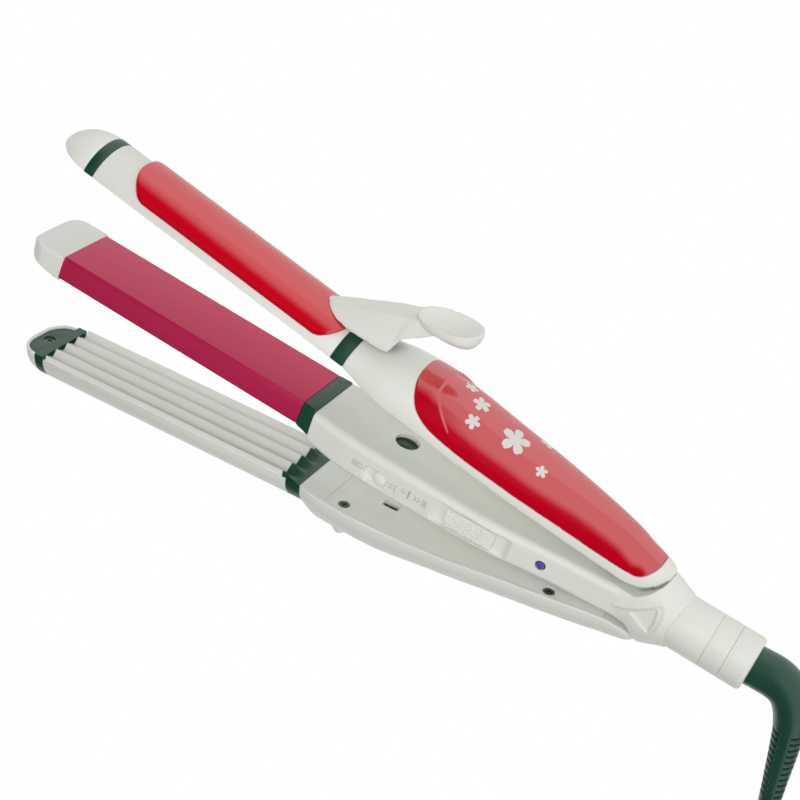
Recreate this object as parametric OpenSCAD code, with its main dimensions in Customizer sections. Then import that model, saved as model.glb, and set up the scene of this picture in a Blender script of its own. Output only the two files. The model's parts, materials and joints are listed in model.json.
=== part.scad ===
// Three-arm hair styler: a curling and straightening arm, a middle arm with the controls, a crimping arm.
// Arm frame: +X runs to the tips, +Y along the hinge pins to the switch side, +Z from the crimping arm
// to the curling arm. Z = 0 is the pressing face of the middle arm.
// The finished part lies on the side away from the switch.

/* [Heated plates] */
// Length of the heated plates
plate_len = 100; // [90:1:110]
// Width of the flat pressing face
plate_w = 24; // [22:0.5:25]
// Height of the pressing plate's side walls
plate_h = 7.8; // [7:0.1:8.2]
// Gap left between two closed plates
plate_gap = 0.3; // [0.2:0.05:0.5]
// Distance between two crests of the crimping plates
crimp_pitch = 6.1; // [5.6:0.1:6.1]
// Depth of the crimping waves
crimp_depth = 2.2; // [1.8:0.1:2.3]
// Radius of the curling barrel
barrel_r = 12.4; // [12:0.1:12.8]
// Radius of the half round shell under the crimping plate
crimp_shell_r = 12.7; // [12.5:0.1:13]
// Wall of the two half barrels
barrel_wall = 1.4; // [1:0.1:1.8]

/* [Handles] */
// Distance from the neck to the heated plates
root_x = 126; // [120:1:132]
// Width of the handles at their widest place
belly_w = 31.2; // [30:0.2:33]
// Wall of the handle shells
wall = 2; // [1.6:0.1:2.4]
// Thickness of the screwed covers
cover_t = 1.6; // [1.2:0.1:2]
// Thickness of the middle handle
mid_t = 12.9; // [12.4:0.1:13.2]

/* [Hinges] */
// Angle of the curling arm above its parallel position, as it rests
open_top = 7.6; // [6:0.2:9]
// Angle of the crimping arm below its parallel position, as it rests
open_low = 7.2; // [6:0.2:9]
// Radius of the hinge pins
pin_r = 1.5; // [1.4:0.1:1.7]
// Running clearance of a pin in a knuckle
pin_play = 0.06; // [0.03:0.01:0.09]
// Distance between the two hinge pins
pin_step = 14.8; // [14.4:0.2:15.6]

/* [Clamp] */
// Thickness of the clamp blade
blade_t = 1.3; // [1:0.1:1.6]
// Gap between the clamp blade and the barrel
blade_gap = 0.4; // [0.3:0.05:0.6]
// Half of the angle that the blade spans round the barrel
blade_angle = 52; // [44:1:56]
// Length of the clamp blade
blade_len = 88; // [76:1:90]
// Width of the lever where it stands in the handle
lever_w = 10.4; // [9:0.2:11]

/* [Controls] */
// Travel of the slide switch to each side of its middle position
switch_travel = 2.8; // [2:0.1:2.9]
// Length of the slide switch knob
switch_len = 18; // [16:0.5:19]
// Travel of the arm lock
lock_travel = 3.6; // [3:0.1:3.7]
// Diameter of the lock's round knob
lock_d = 4.6; // [4:0.1:5]
// Diameter of the signal lamp
lamp_d = 2.8; // [2.4:0.1:3.4]

/* [Collar and cord] */
// Radius of the round collar
collar_r = 9.2; // [9:0.1:9.4]
// Radius of the boot where it enters the collar
boot_r = 6.7; // [6.4:0.1:7]
// Diameter of the mains cord
cord_d = 6; // [6:0.1:6.2]
// Running clearance of the swivel tube
swivel_play = 0.05; // [0.03:0.01:0.09]

/* [Hidden] */
$fn = 48;
seam = 0.15;
free = 0.3;

// Places along the arms
tip_x = root_x + plate_len;
handle_front = root_x - 7;
handle_rear = -3;
handle_len = handle_front - handle_rear;
belly_b = belly_w / 2;

// Hinges of the two outer arms
hinge_x = -5;
mid_z = -5.4;
top_pin_z = mid_z + pin_step / 2;
low_pin_z = mid_z - pin_step / 2;
knuckle_r = 4.3;
knuckle_y0 = -4.7;
knuckle_y1 = 1.5;
pocket_r = knuckle_r + 0.5;
pocket_y = 5;
over_top = 0.7;
over_low = 0.4;

// Sections of the handles: share of the length, then the value there
mid_plan = [[0.06, 0.58], [0.15, 0.665], [0.25, 0.74], [0.31, 0.81], [0.42, 0.93], [0.48, 0.97],
    [0.6, 0.99], [0.7, 1], [0.8, 1], [0.885, 0.98], [0.96, 0.915], [1.02, 0.86]];
mid_deep = [[0.25, 0.85], [0.42, 0.89], [0.6, 0.95], [0.7, 0.98], [0.8, 1], [0.885, 1], [0.96, 0.97],
    [1.02, 0.89]];
top_plan = [[0, 0.16], [0.016, 0.35], [0.049, 0.5], [0.098, 0.577], [0.148, 0.635], [0.279, 0.763],
    [0.5, 0.949], [0.68, 0.994], [0.803, 1], [0.869, 0.974], [0.926, 0.897], [0.959, 0.833], [1, 0.763]];
top_base = [[0, 7.5], [0.016, 5.2], [0.049, 2.2], [0.098, 0.8], [0.148, 1], [0.279, 1.5], [0.5, 2.4],
    [0.8, 2.8], [0.926, 3], [0.959, 3.3], [1, 3.6]];
top_rise = [[0, 2.2], [0.016, 5.4], [0.049, 9.3], [0.098, 12], [0.148, 13.2], [0.279, 14.1], [0.5, 14.6],
    [0.68, 15.6], [0.745, 15.3], [0.803, 14.3], [0.869, 12.9], [0.926, 10.9], [0.959, 9.6], [1, 8.6]];
low_plan = [[0.012, 0.32], [0.029, 0.5], [0.107, 0.596], [0.336, 0.814], [0.582, 0.968], [0.77, 1],
    [0.943, 0.917], [1, 0.81]];
low_rim = [[0.012, -16], [0.029, -13.8], [0.107, -12], [0.336, -12.6], [0.582, -14.4], [0.77, -15],
    [0.943, -14.8], [1, -14.3]];
low_deep = [[0.012, 3], [0.029, 6.4], [0.107, 9.9], [0.336, 12.1], [0.582, 13], [0.77, 14.9], [0.943, 14.6],
    [1, 11.7]];
function share(x) = (x - handle_rear) / handle_len;
function place(s) = handle_rear + s * handle_len;
function mid_b(x) = belly_b * lookup(share(x), mid_plan);
function mid_top(x) = -0.4;
function mid_low(x) = mid_top(x) - mid_t * lookup(share(x), mid_deep);
function top_b(x) = belly_b * lookup(share(x), top_plan);
function top_z(x) = lookup(share(x), top_base);
function top_h(x) = lookup(share(x), top_rise);
function low_b(x) = belly_b * lookup(share(x), low_plan);
function low_z(x) = lookup(share(x), low_rim);
function low_h(x) = lookup(share(x), low_deep);

// Heated parts of the arms
barrel_z = -0.2;
barrel_base = 3.6;
barrel_x0 = root_x - 2;
barrel_x1 = tip_x - 1.5;
blade_r = barrel_r + blade_gap + blade_t;
blade_x0 = root_x - 1;
blade_x1 = blade_x0 + blade_len;
low_axis_z = -13.3;
crest_z = -12.2;
low_x0 = root_x + 0.3;
low_x1 = tip_x + 0.4;
function top_face(x) = top_pin_z + (x - hinge_x) * sin(over_top) + (plate_gap - top_pin_z) * cos(over_top);
function mesh_z(x) = (x - hinge_x) * sin(over_low) + (crest_z - low_pin_z) * cos(over_low) + low_pin_z;

// Clamp of the curling arm
clamp_x = root_x - 13;
clamp_z = 17.5;
clamp_half = lever_w / 2;

// Controls on the switch side
switch_x = root_x - 68.5;
switch_z = -7;
switch_h = 8;
knob_h = 6.5;
knob_t = 1.5;
lock_x = root_x - 34.4;
lock_z = -8.3;
lock_y = belly_b - 1.2;
lamp_x = root_x - 92.8;
lamp_z = -6.4;
post_x = root_x - 34.1;
post_r = 3.3;
post_neck_r = 2.1;
hook_x = root_x - 38.2;
board_z = -8.2;

// Collar, swivel and boot
saddle_x = -20;
saddle_r = 12;
collar_x = -23.1;
ring_x = -29.8;
end_x = -37.7;
swivel_r = 5;
swivel_flange_r = 6.8;
boot_bore = boot_r + 0.2;
boot_path = [[-33.8, mid_z], [-38, -5.3], [-41.5, -5.1], [-44.5, -5], [-47.6, -5.5], [-50.4, -6.9],
    [-52.7, -9.3], [-54.5, -12.4], [-55.9, -16.2], [-57, -20], [-58.4, -26], [-59.8, -32], [-61.1, -38],
    [-62.5, -44], [-63.6, -49]];
boot_size = [boot_r, boot_r, 6.75, 6.75, 6.7, 6.5, 6.25, 5.95, 5.5, 5.1, 4.7, 4.35, 4, 3.7, 3.45];
boot_slots = 11;

// Route of the cord behind the part: X, Y and height over the table, before the part is centred
cord_r = cord_d / 2;
cord_route = [[-63.6, 49, 15.6], [-64.8, 55.2, 15.6], [-65.9, 60.8, 15.3], [-67.3, 67, 14.4],
    [-70.3, 73.1, 12.6], [-75.2, 78.3, 10.2], [-81.6, 81.9, 7.6], [-88.9, 83.4, 5.4],
    [-96.6, 83.3, 4.1], [-104.5, 83.1, 3.6], [-110, 83.1, 3.6]];
hank_x = -176;
hank_y = 50.6;
hank_half = 60;
hank_r = 32.5;
hank_step = 7;
hank_low = 3.6;
hank_rise = 6.8;
hank_turns = 4;
waist_y = 6;
waist_step = 7.3;
turn_points = 24;
plug_route = [[-122, 82.6, 10.7], [-128, 81.8, 11.9], [-134, 80.6, 13.6], [-140, 79, 15.4],
    [-146, 76.8, 16.7], [-152, 74, 17.1], [-158, 70.7, 17.2], [-164, 67.2, 17.4],
    [-170, 63.6, 17.9], [-176, 60.4, 18.8], [-182, 58, 19.7], [-188, 56.8, 20.2],
    [-193, 56.6, 20.3]];
plug_x = -193.15;
plug_y = 56.6;
plug_z = 20.3;
plug_w = 35.3;
plug_t = 13.6;
plug_len = 34;

// Middle of the finished part over the origin, without the cord
front_x = tip_x + 15.5;
pad_rear = root_x - 39;
pad_top = 36;
top_reach = top_pin_z + (pad_rear - hinge_x) * sin(open_top) + (pad_top - top_pin_z) * cos(open_top);
low_reach = low_pin_z - (low_x1 + 4 - hinge_x) * sin(open_low)
    - (low_pin_z - low_axis_z + crimp_shell_r) * cos(open_low);
shift_x = -(front_x + end_x) / 2;
shift_y = (top_reach + low_reach) / 2;

module lay() {
    translate([shift_x, shift_y, belly_b])
        rotate([90, 0, 0])
            children();
}

module at_top() {
    lay()
        translate([hinge_x, 0, top_pin_z])
            rotate([0, -open_top, 0])
                translate([-hinge_x, 0, -top_pin_z])
                    children();
}

module at_low() {
    lay()
        translate([hinge_x, 0, low_pin_z])
            rotate([0, open_low, 0])
                translate([-hinge_x, 0, -low_pin_z])
                    children();
}

// Solid drawn through rings of points
module loft(rings) {
    n = len(rings[0]);
    m = len(rings);
    points = [for (ring = rings) for (p = ring) p];
    sides = [for (k = [0 : m - 2]) for (i = [0 : n - 1]) for (t = [0, 1])
        let (j = (i + 1) % n, a = k * n, b = a + n)
            t == 0 ? [a + i, b + j, a + j] : [a + i, b + i, b + j]];
    first = [for (i = [0 : n - 1]) i];
    last = [for (i = [n - 1 : -1 : 0]) (m - 1) * n + i];
    polyhedron(points, concat(sides, [first, last]), convexity = 8);
}

// Cylinder along Y, the direction of the hinge pins
module pin_y(x, z, r, y0, y1) {
    translate([x, y1, z])
        rotate([90, 0, 0])
            cylinder(r = r, h = y1 - y0);
}

module rod_x(x0, x1, y, z, r) {
    translate([x0, y, z])
        rotate([0, 90, 0])
            cylinder(r = r, h = x1 - x0);
}

module rod_z(x, y, z0, z1, r) {
    translate([x, y, z0])
        cylinder(r = r, h = z1 - z0);
}

module block(x0, x1, y0, y1, z0, z1) {
    translate([x0, y0, z0])
        cube([x1 - x0, y1 - y0, z1 - z0]);
}

// Outline in X and Z, solid from y0 to y1
module slab_y(y0, y1) {
    translate([0, y1, 0])
        rotate([90, 0, 0])
            linear_extrude(y1 - y0)
                children();
}

// Outline in X and Y, solid from z0 to z1
module slab_z(z0, z1) {
    translate([0, 0, z0])
        linear_extrude(z1 - z0)
            children();
}

// Outline in Y and Z, solid from x0 to x1
module rail_x(x0, x1) {
    translate([x0, 0, 0])
        rotate([90, 0, 90])
            linear_extrude(x1 - x0)
                children();
}

module round_box(x0, x1, y0, y1, r) {
    translate([x0 + r, y0])
        square([x1 - x0 - 2 * r, y1 - y0]);
    translate([x0, y0 + r])
        square([x1 - x0, y1 - y0 - 2 * r]);
    for (x = [x0 + r, x1 - r], y = [y0 + r, y1 - r])
        translate([x, y])
            circle(r);
}

// Half round sections, arched to +Z, or to -Z with a negative height
arch_n = 16;
function arch(x, b, z0, h) = [for (i = [0 : arch_n]) let (t = 180 * (h > 0 ? i : arch_n - i) / arch_n)
    [x, b * cos(t), z0 + h * sin(t)]];
function segment(x, r, zc, zb, up) = let (t0 = asin(abs(zb - zc) / r))
    [for (i = [0 : arch_n]) let (t = t0 + (180 - 2 * t0) * (up > 0 ? i : arch_n - i) / arch_n)
        [x, r * cos(t), zc + up * r * sin(t)]];
function strip(x, b, z0, z1) = [[x, b, z0], [x, b, z1], [x, -b, z1], [x, -b, z0]];
function corner(x, y, z, r, a0) = [for (a = [0, 30, 60, 90]) [x, y + r * cos(a0 + a), z + r * sin(a0 + a)]];
function box_ring(x, b, zt, zb, rt, rb) = concat(
    corner(x, b - rt, zt - rt, rt, 0), corner(x, -b + rt, zt - rt, rt, 90),
    corner(x, -b + rb, zb + rb, rb, 180), corner(x, b - rb, zb + rb, rb, 270));
function oval(x, b, z, h) = [for (i = [0 : 23]) [x, b * cos(15 * i), z + h * sin(15 * i)]];

// Rings square to a path, for the boot and the cord
function unit(v) = v / norm(v);
function way(path, i) = unit(path[min(i + 1, len(path) - 1)] - path[max(i - 1, 0)]);
function tube_ring(path, i, r, n) = let (t = way(path, i), s = unit(cross([0, 0, 1], t)), u = cross(t, s))
    [for (j = [0 : n - 1]) path[i] + r * (cos(360 * j / n) * s + sin(360 * j / n) * u)];

module tube(path, r, n) {
    loft([for (i = [0 : len(path) - 1]) tube_ring(path, i, r, n)]);
}

// Coil round the Y direction with two straight legs
module coil(x, z, r, wire, y0, y1, turns) {
    n = 6;
    path = concat(
        [[x + 2.6, y0, z - r], [x + 0.8, y0, z - r]],
        [for (k = [0 : 8 * turns]) let (a = 45 * k)
            [x - r * sin(a), y0 + (y1 - y0) * k / (8 * turns), z - r * cos(a)]],
        [[x + 0.8, y1, z + r], [x + 2.6, y1, z + r]]);
    loft([for (i = [0 : len(path) - 1])
        let (t = way(path, i), u = unit(cross(t, [0, 1, 0])), v = cross(u, t))
        [for (j = [0 : n - 1]) path[i] + wire * (cos(360 * j / n) * v + sin(360 * j / n) * u)]]);
}

screw_r = 1.1;
screw_head_r = 1.9;
head_h = 1;
sink = 1.1;
module screw(x, y, z, length) {
    difference() {
        rod_z(x, y, z - head_h, z, screw_head_r);
        for (a = [0, 90])
            translate([x, y, z - 0.6])
                rotate([0, 0, a])
                    translate([-1.3, -0.25, 0])
                        cube([2.6, 0.5, 1]);
    }
    rod_z(x, y, z - head_h - length, z - head_h, screw_r);
}

// Middle arm
mid_stations = [0.06, 0.1, 0.15, 0.2, 0.25, 0.31, 0.365, 0.42, 0.48, 0.54, 0.6, 0.7, 0.8, 0.885, 0.925,
    0.96];
function mid_ring(x, g) = box_ring(x, mid_b(x) - g, mid_top(x) - g, mid_low(x) + g, max(2.6 - g, 0.6),
    max(1.8 - g, 0.6));
band_x0 = root_x - 5.1;
cover_x0 = 24;
cover_x1 = root_x - 14;
cavity_x0 = 18;
cavity_x1 = band_x0 - 2;
hub_x = 14.5;
hub_r = 20.5;
hub_z = 22.4;
mid_screws = [[28, 6.2], [28, -6.2], [root_x - 20, 9], [root_x - 20, -9]];

module mid_outer() {
    loft([for (s = mid_stations) mid_ring(place(s), 0), mid_ring(band_x0, 0)]);
}

module neck_outer() {
    loft([oval(-14, 9.25, mid_z, 9.4), oval(-12.6, 9.3, mid_z, 10.1), oval(-9, 9.6, mid_z, 12.2),
        oval(-6.5, 9.8, mid_z, 13.3), oval(-4, 10, mid_z, 14.1), oval(0, 10, mid_z, 14.8),
        oval(4, 9.6, mid_z, 13.6), oval(9, 9.6, mid_z, 10), oval(15, 9.6, mid_z - 0.4, 5.6),
        oval(20, 9.4, mid_z - 0.4, 4.8)]);
}

module mid_inner() {
    loft([mid_ring(cavity_x0, wall),
        for (s = mid_stations) if (place(s) > cavity_x0 + 2 && place(s) < cavity_x1 - 1)
            mid_ring(place(s), wall),
        mid_ring(cavity_x1, wall)]);
}

module mid_cover_room(g) {
    xs = [cover_x0 - g, 30, 40, 50, 60, 72, 84, 96, 104, cover_x1 + g];
    loft([for (x = xs) strip(x, mid_b(x) - 3.2 + g, mid_low(x) - (g > 0 ? 3 : 0), mid_low(x) + cover_t)]);
}

// Opening behind the cover, which rests on the ledge round it
module mid_window() {
    xs = [cover_x0 + 2, 40, 60, 84, cover_x1 - 2];
    loft([for (x = xs) strip(x, mid_b(x) - 4.4, mid_low(x) - 1, mid_low(x) + wall + 0.5)]);
}

// Room for the rounded rear end of an arm, down to the flat side of the middle handle
module hub_cut(z0) {
    intersection() {
        pin_y(hub_x, mid_z + hub_z, hub_r, -20, 20);
        block(-20, 40, -20, 20, z0, 40);
    }
}

// Room in the neck for an arm's knuckle, its spring and its swing
module knuckle_room() {
    pin_y(hinge_x, top_pin_z, pocket_r, -pocket_y, pocket_y);
    slab_y(-pocket_y, pocket_y)
        polygon([[hinge_x, top_pin_z - pocket_r], [hinge_x + 1.6, top_pin_z - pocket_r], [0, -0.4],
            [4, -0.2], [4, 9], [hinge_x + 1.8, 7.4], [hinge_x, top_pin_z + pocket_r]]);
}

module mirror_mid() {
    translate([0, 0, 2 * mid_z])
        mirror([0, 0, 1])
            children();
}

// Floor of the switch recess, which follows the flank of the handle
function recess_y(x) = mid_b(switch_x - 13.3) - 1.3 + (x - switch_x + 13.3) * recess_slope;
recess_slope = (mid_b(switch_x + 13.3) - mid_b(switch_x - 13.3)) / 26.6;
recess_angle = atan(recess_slope);

module at_switch() {
    translate([switch_x, recess_y(switch_x), switch_z])
        rotate([0, 0, recess_angle])
            children();
}

module mid_shell() {
    color("Gainsboro")
        lay()
            difference() {
                union() {
                    difference() {
                        union() {
                            mid_outer();
                            neck_outer();
                        }
                        mid_inner();
                        mid_cover_room(seam);
                        mid_window();
                    }
                    intersection() {
                        mid_outer();
                        union() {
                            at_switch()
                                block(-16, 16, -1.2, 4, -6, 6);
                            block(lock_x - 5, lock_x + 9, lock_y - 1.8, belly_b, lock_z - 4.5,
                                lock_z + 4.5);
                            for (p = mid_screws)
                                rod_z(p[0], p[1], mid_low(p[0]) + cover_t + seam, -1.5, 3);
                        }
                    }
                }
                pin_y(saddle_x, mid_z, saddle_r, -20, 20);
                hub_cut(mid_top(0));
                mirror_mid()
                    hub_cut(2 * mid_z - mid_low(0));
                knuckle_room();
                mirror_mid()
                    knuckle_room();
                for (z = [top_pin_z, low_pin_z])
                    pin_y(hinge_x, z, pin_r, -20, 6.8);
                for (s = [-1, 1])
                    block(-13, -2.8, s * 7 - 1, s * 7 + 1, mid_z - 3, mid_z + 3);
                block(-14, cavity_x0 + 1, -4.4, 4.4, mid_z - 1.4, mid_z + 1.4);
                at_switch() {
                    block(-13.3, 13.3, 0, 6, -switch_h / 2, switch_h / 2);
                    block(-2.2 - switch_travel, 2.2 + switch_travel, -8, 6, -1.7, 1.7);
                }
                block(lock_x - lock_d / 2 - 0.2, lock_x + lock_travel + lock_d / 2 + 0.2, lock_y, 20,
                    lock_z - lock_d / 2 - 0.2, lock_z + lock_d / 2 + 0.2);
                block(lock_x - 1.5, lock_x + lock_travel + 1.5, lock_y - 8, 20, lock_z - 1.4, lock_z + 1.4);
                pin_y(lamp_x, lamp_z, lamp_d / 2, 5, 20);
                rod_z(post_x, 0, -3.6, 2, post_r + 0.8);
                for (p = mid_screws)
                    rod_z(p[0], p[1], mid_low(p[0]) - 1, mid_low(p[0]) + cover_t + 7, screw_r);
            }
}

module mid_cover() {
    color("Gainsboro")
        lay()
            difference() {
                union() {
                    intersection() {
                        mid_cover_room(0);
                        mid_outer();
                    }
                    for (x = [switch_x - 12, switch_x + 14])
                        block(x - 1, x + 1, -6, 6, mid_low(x) + 1, board_z - 1.4);
                }
                block(hook_x - 0.3, hook_x + 2.6 + lock_travel, -1.5, 1.3, -20, -5);
                for (p = mid_screws) {
                    rod_z(p[0], p[1], mid_low(p[0]) - 3, mid_low(p[0]) + 10, screw_r + 0.1);
                    rod_z(p[0], p[1], mid_low(p[0]) - 3, mid_low(p[0]) + sink, screw_head_r + 0.1);
                }
            }
}

module mid_cover_screws() {
    color("DimGray")
        lay()
            for (p = mid_screws)
                translate([0, 0, mid_low(p[0]) + sink - head_h])
                    mirror([0, 0, 1])
                        screw(p[0], p[1], 0, 6);
}

press_half = plate_w / 2;
module press_section(t) {
    polygon([[-press_half - 1.4, -plate_h], [-press_half - 0.2, -1.2], [-press_half + 0.7, 0],
        [press_half - 0.7, 0], [press_half + 0.2, -1.2], [press_half + 1.4, -plate_h],
        [press_half + 1.4 - t, -plate_h],
        [press_half + 0.2 - t, -t], [-press_half - 0.2 + t, -t], [-press_half - 1.4 + t, -plate_h]]);
}

module press_plate() {
    color("MediumVioletRed")
        lay()
            rail_x(root_x, tip_x)
                press_section(1.25);
}

// Waves of the crimping plates, with a crest of the lower plate in the middle
wave_n = 8;
function wave(y) = crimp_depth / 2 * (cos(360 * y / crimp_pitch) - 1);
wave_ys = [for (k = [-2 * wave_n : 2 * wave_n]) k * crimp_pitch / wave_n];
mid_plate_b = 11.7;
function mid_wave(x, y) = max(mesh_z(x) + plate_gap + wave(y), -(14 - 0.578 * abs(y)) / 0.816);

// Flat back at -6.5, waved front, both ends built of strips between the two
module mid_crimp_plate() {
    ys = concat([-mid_plate_b], [for (y = wave_ys) if (abs(y) < mid_plate_b - 0.1) y], [mid_plate_b]);
    n = len(ys);
    points = [for (x = [root_x, tip_x], y = ys, z = [mid_wave(x, y), -6.5]) [x, y, z]];
    m = 2 * n;
    strips = [for (k = [0 : n - 2]) let (a = 2 * k)
        each [[a, a + 2, a + 3, a + 1], [m + a, m + a + 1, m + a + 3, m + a + 2],
            [a + 1, a + 3, m + a + 3, m + a + 1], [a, m + a, m + a + 2], [a, m + a + 2, a + 2]]];
    ends = [[0, 1, m + 1, m], [m - 2, 2 * m - 2, 2 * m - 1, m - 1]];
    color("Silver")
        lay()
            polyhedron(points, concat(strips, ends), convexity = 8);
}

module mid_heater() {
    color("Silver")
        lay()
            block(root_x + 14, tip_x - 12, -7, 7, -6.5, -1.25);
}

function band_ring(x, b1, b2, zl, zb) = [[x, b2, zl], [x, b1, -1.2], [x, b1 - 0.9, 0], [x, -b1 + 0.9, 0],
    [x, -b1, -1.2], [x, -b2, zl], [x, -b2 + 2.4, zb], [x, b2 - 2.4, zb]];

module mid_band() {
    color("DarkSlateGray")
        lay()
            loft([band_ring(band_x0, press_half + 0.7, press_half + 1.6, -9.4, -11),
                band_ring(root_x, press_half + 0.25, press_half + 1.45, -plate_h, -10.2)]);
}

module mid_cap() {
    color("White")
        lay()
            intersection() {
                slab_z(-11, 0)
                    round_box(tip_x - 8, front_x, -press_half - 0.7, press_half + 0.7, 5);
                slab_y(-15, 15)
                    polygon([[tip_x, -0.3], [front_x - 0.6, -0.3], [front_x, -1.2], [front_x, -6],
                        [front_x - 3.5, -7.6], [tip_x + 5, -10.3], [tip_x, -10.3]]);
                rod_z(front_x - 45, 0, -12, 1, 45);
            }
}

module circuit_board() {
    color("DarkGreen")
        lay() {
            difference() {
                block(lamp_x - 2.4, lock_x - 12, -7.2, 7.2, board_z - 1.4, board_z);
                for (p = mid_screws)
                    rod_z(p[0], p[1], -12, -5, 3.3);
            }
            block(lamp_x + 4.6, lamp_x + 10, -5, 5, board_z, mid_z + 1.6);
            block(lamp_x - 1.9, lamp_x + 1.9, 4.2, 6.2, board_z, lamp_z + 1.4);
            block(switch_x + 6.5, switch_x + 18, -6, 0, board_z, board_z + 3);
        }
}

module switch_body() {
    color("Black")
        lay()
            difference() {
                block(switch_x - 7, switch_x + 6, 1.5, 8, board_z, board_z + 4.4);
                block(switch_x - 2.4 - switch_travel, switch_x + 2 + switch_travel, 5.5, 9, switch_z - 0.9,
                    switch_z + 0.9);
            }
}

module switch_knob() {
    color("White")
        lay()
            at_switch() {
                intersection() {
                    slab_y(0.1, knob_t)
                        round_box(-switch_len / 2 + 1, switch_len / 2 + 1, -knob_h / 2, knob_h / 2, 0.8);
                    block(-15, 15, -1, 3, -5, 5);
                }
                block(-1.6, 1.6, -3.4, 0.2, -1.4, 1.4);
                block(-0.9, 0.9, -7.4, -3.3, -0.7, 0.7);
            }
}

module signal_lamp() {
    color("SlateBlue")
        lay()
            pin_y(lamp_x, lamp_z, lamp_d / 2, 6.2, mid_b(lamp_x) + 0.15);
}

// Lock: knob, stem, plate with a keyhole for the post of the curling arm, and hook for the crimping arm
module lock_slider() {
    color("White")
        lay() {
            pin_y(lock_x, lock_z, lock_d / 2, lock_y + 0.1, lock_y + 0.8);
            pin_y(lock_x, lock_z, lock_d / 2 - 0.6, lock_y + 0.7, lock_y + 1.4);
            block(lock_x - 1.2, lock_x + 1.2, 6.4, lock_y + 0.2, lock_z - 1.1, lock_z + 1.1);
            block(lock_x - 1.2, lock_x + 1.2, 6.4, 8.4, lock_z - 1.1, -4.4);
            difference() {
                block(post_x - 8, post_x + 5.4, -6, 7.2, -6, -4.4);
                rod_z(post_x, 0, -7, -3, post_r + 0.4);
                block(post_x - lock_travel - post_neck_r - 0.3, post_x, -post_neck_r - 0.3,
                    post_neck_r + 0.3, -7, -3);
            }
            block(hook_x, hook_x + 1.4, 3.8, 5.4, -9, -5);
            block(hook_x, hook_x + 1.4, -1, 5.4, -9, -7.8);
            block(hook_x, hook_x + 1.4, -1, 0.8, -17, -7.8);
            block(hook_x, hook_x + 2.2, -1, 0.8, -17, -16.2);
        }
}

module hinge_pin(z) {
    color("Silver")
        lay()
            pin_y(hinge_x, z, pin_r, -8, 6.8);
}

module top_pin() {
    hinge_pin(top_pin_z);
}

module low_pin() {
    hinge_pin(low_pin_z);
}

module top_arm_spring() {
    color("Silver")
        lay()
            coil(hinge_x, top_pin_z, 2.8, 0.45, knuckle_y1 + 0.8, pocket_y - 0.7, 2.5);
}

module low_arm_spring() {
    color("Silver")
        lay()
            mirror_mid()
                coil(hinge_x, top_pin_z, 2.8, 0.45, knuckle_y1 + 0.8, pocket_y - 0.7, 2.5);
}

module mains_leads() {
    color("SteelBlue")
        lay()
            for (y = [-1.7, 1.7])
                rod_x(-33, lamp_x + 4.6, y, mid_z, 1);
}

module collar() {
    color("White")
        lay()
            difference() {
                union() {
                    intersection() {
                        rod_x(collar_x, -6, 0, mid_z, collar_r);
                        pin_y(saddle_x, mid_z, saddle_r, -20, 20);
                    }
                    for (s = [-1, 1])
                        block(-13, -3, s * 7 - 0.9, s * 7 + 0.9, mid_z - 2.8, mid_z + 2.8);
                }
                rod_x(collar_x - 1, collar_x + 2.2, 0, mid_z, swivel_flange_r + 0.2);
                rod_x(collar_x - 1, -6, 0, mid_z, 4.2);
            }
}

module collar_ring() {
    color("White")
        lay()
            difference() {
                rod_x(ring_x, collar_x, 0, mid_z, collar_r);
                rod_x(ring_x - 1, collar_x + 1, 0, mid_z, swivel_r + swivel_play);
                rod_x(collar_x - 0.3, collar_x + 1, 0, mid_z, swivel_flange_r + 0.2);
            }
}

module collar_end() {
    color("White")
        lay()
            translate([0, 0, mid_z])
                rotate([0, 90, 0])
                    rotate_extrude()
                        polygon([[swivel_r, ring_x - free], [collar_r, ring_x - free],
                            [collar_r, end_x + 1.4], [collar_r - 0.4, end_x + 0.5], [collar_r - 1.2, end_x],
                            [boot_bore, end_x], [boot_bore, end_x + 4.2], [swivel_r, end_x + 4.2]]);
}

module swivel_tube() {
    color("Silver")
        lay()
            difference() {
                union() {
                    rod_x(end_x + 4.2, collar_x + 1.9, 0, mid_z, swivel_r);
                    rod_x(collar_x + 0.2, collar_x + 1.9, 0, mid_z, swivel_flange_r);
                }
                rod_x(end_x, collar_x + 5, 0, mid_z, 3.6);
            }
}

function boot_point(i) = [boot_path[i][0], -boot_path[i][1], belly_b];
boot_line = [for (i = [len(boot_path) - 1 : -1 : 0]) boot_point(i)];
boot_n = len(boot_path);

module boot() {
    color("DarkSlateGray")
        translate([shift_x, shift_y, 0])
            difference() {
                loft([for (i = [0 : boot_n - 1]) tube_ring(boot_line, i, boot_size[boot_n - 1 - i], 16)]);
                for (k = [0 : boot_slots - 1], s = [-1, 1], f = [-1, 1])
                    translate([-56.9 - 0.56 * k, 19.4 + 2.45 * k, belly_b])
                        rotate([0, 0, 13])
                            translate([s * (3.4 - 0.11 * k), 0, f * (4.4 - 0.14 * k)])
                                cube([3.4 - 0.08 * k, 1.1, 2.2], center = true);
            }
}

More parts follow.
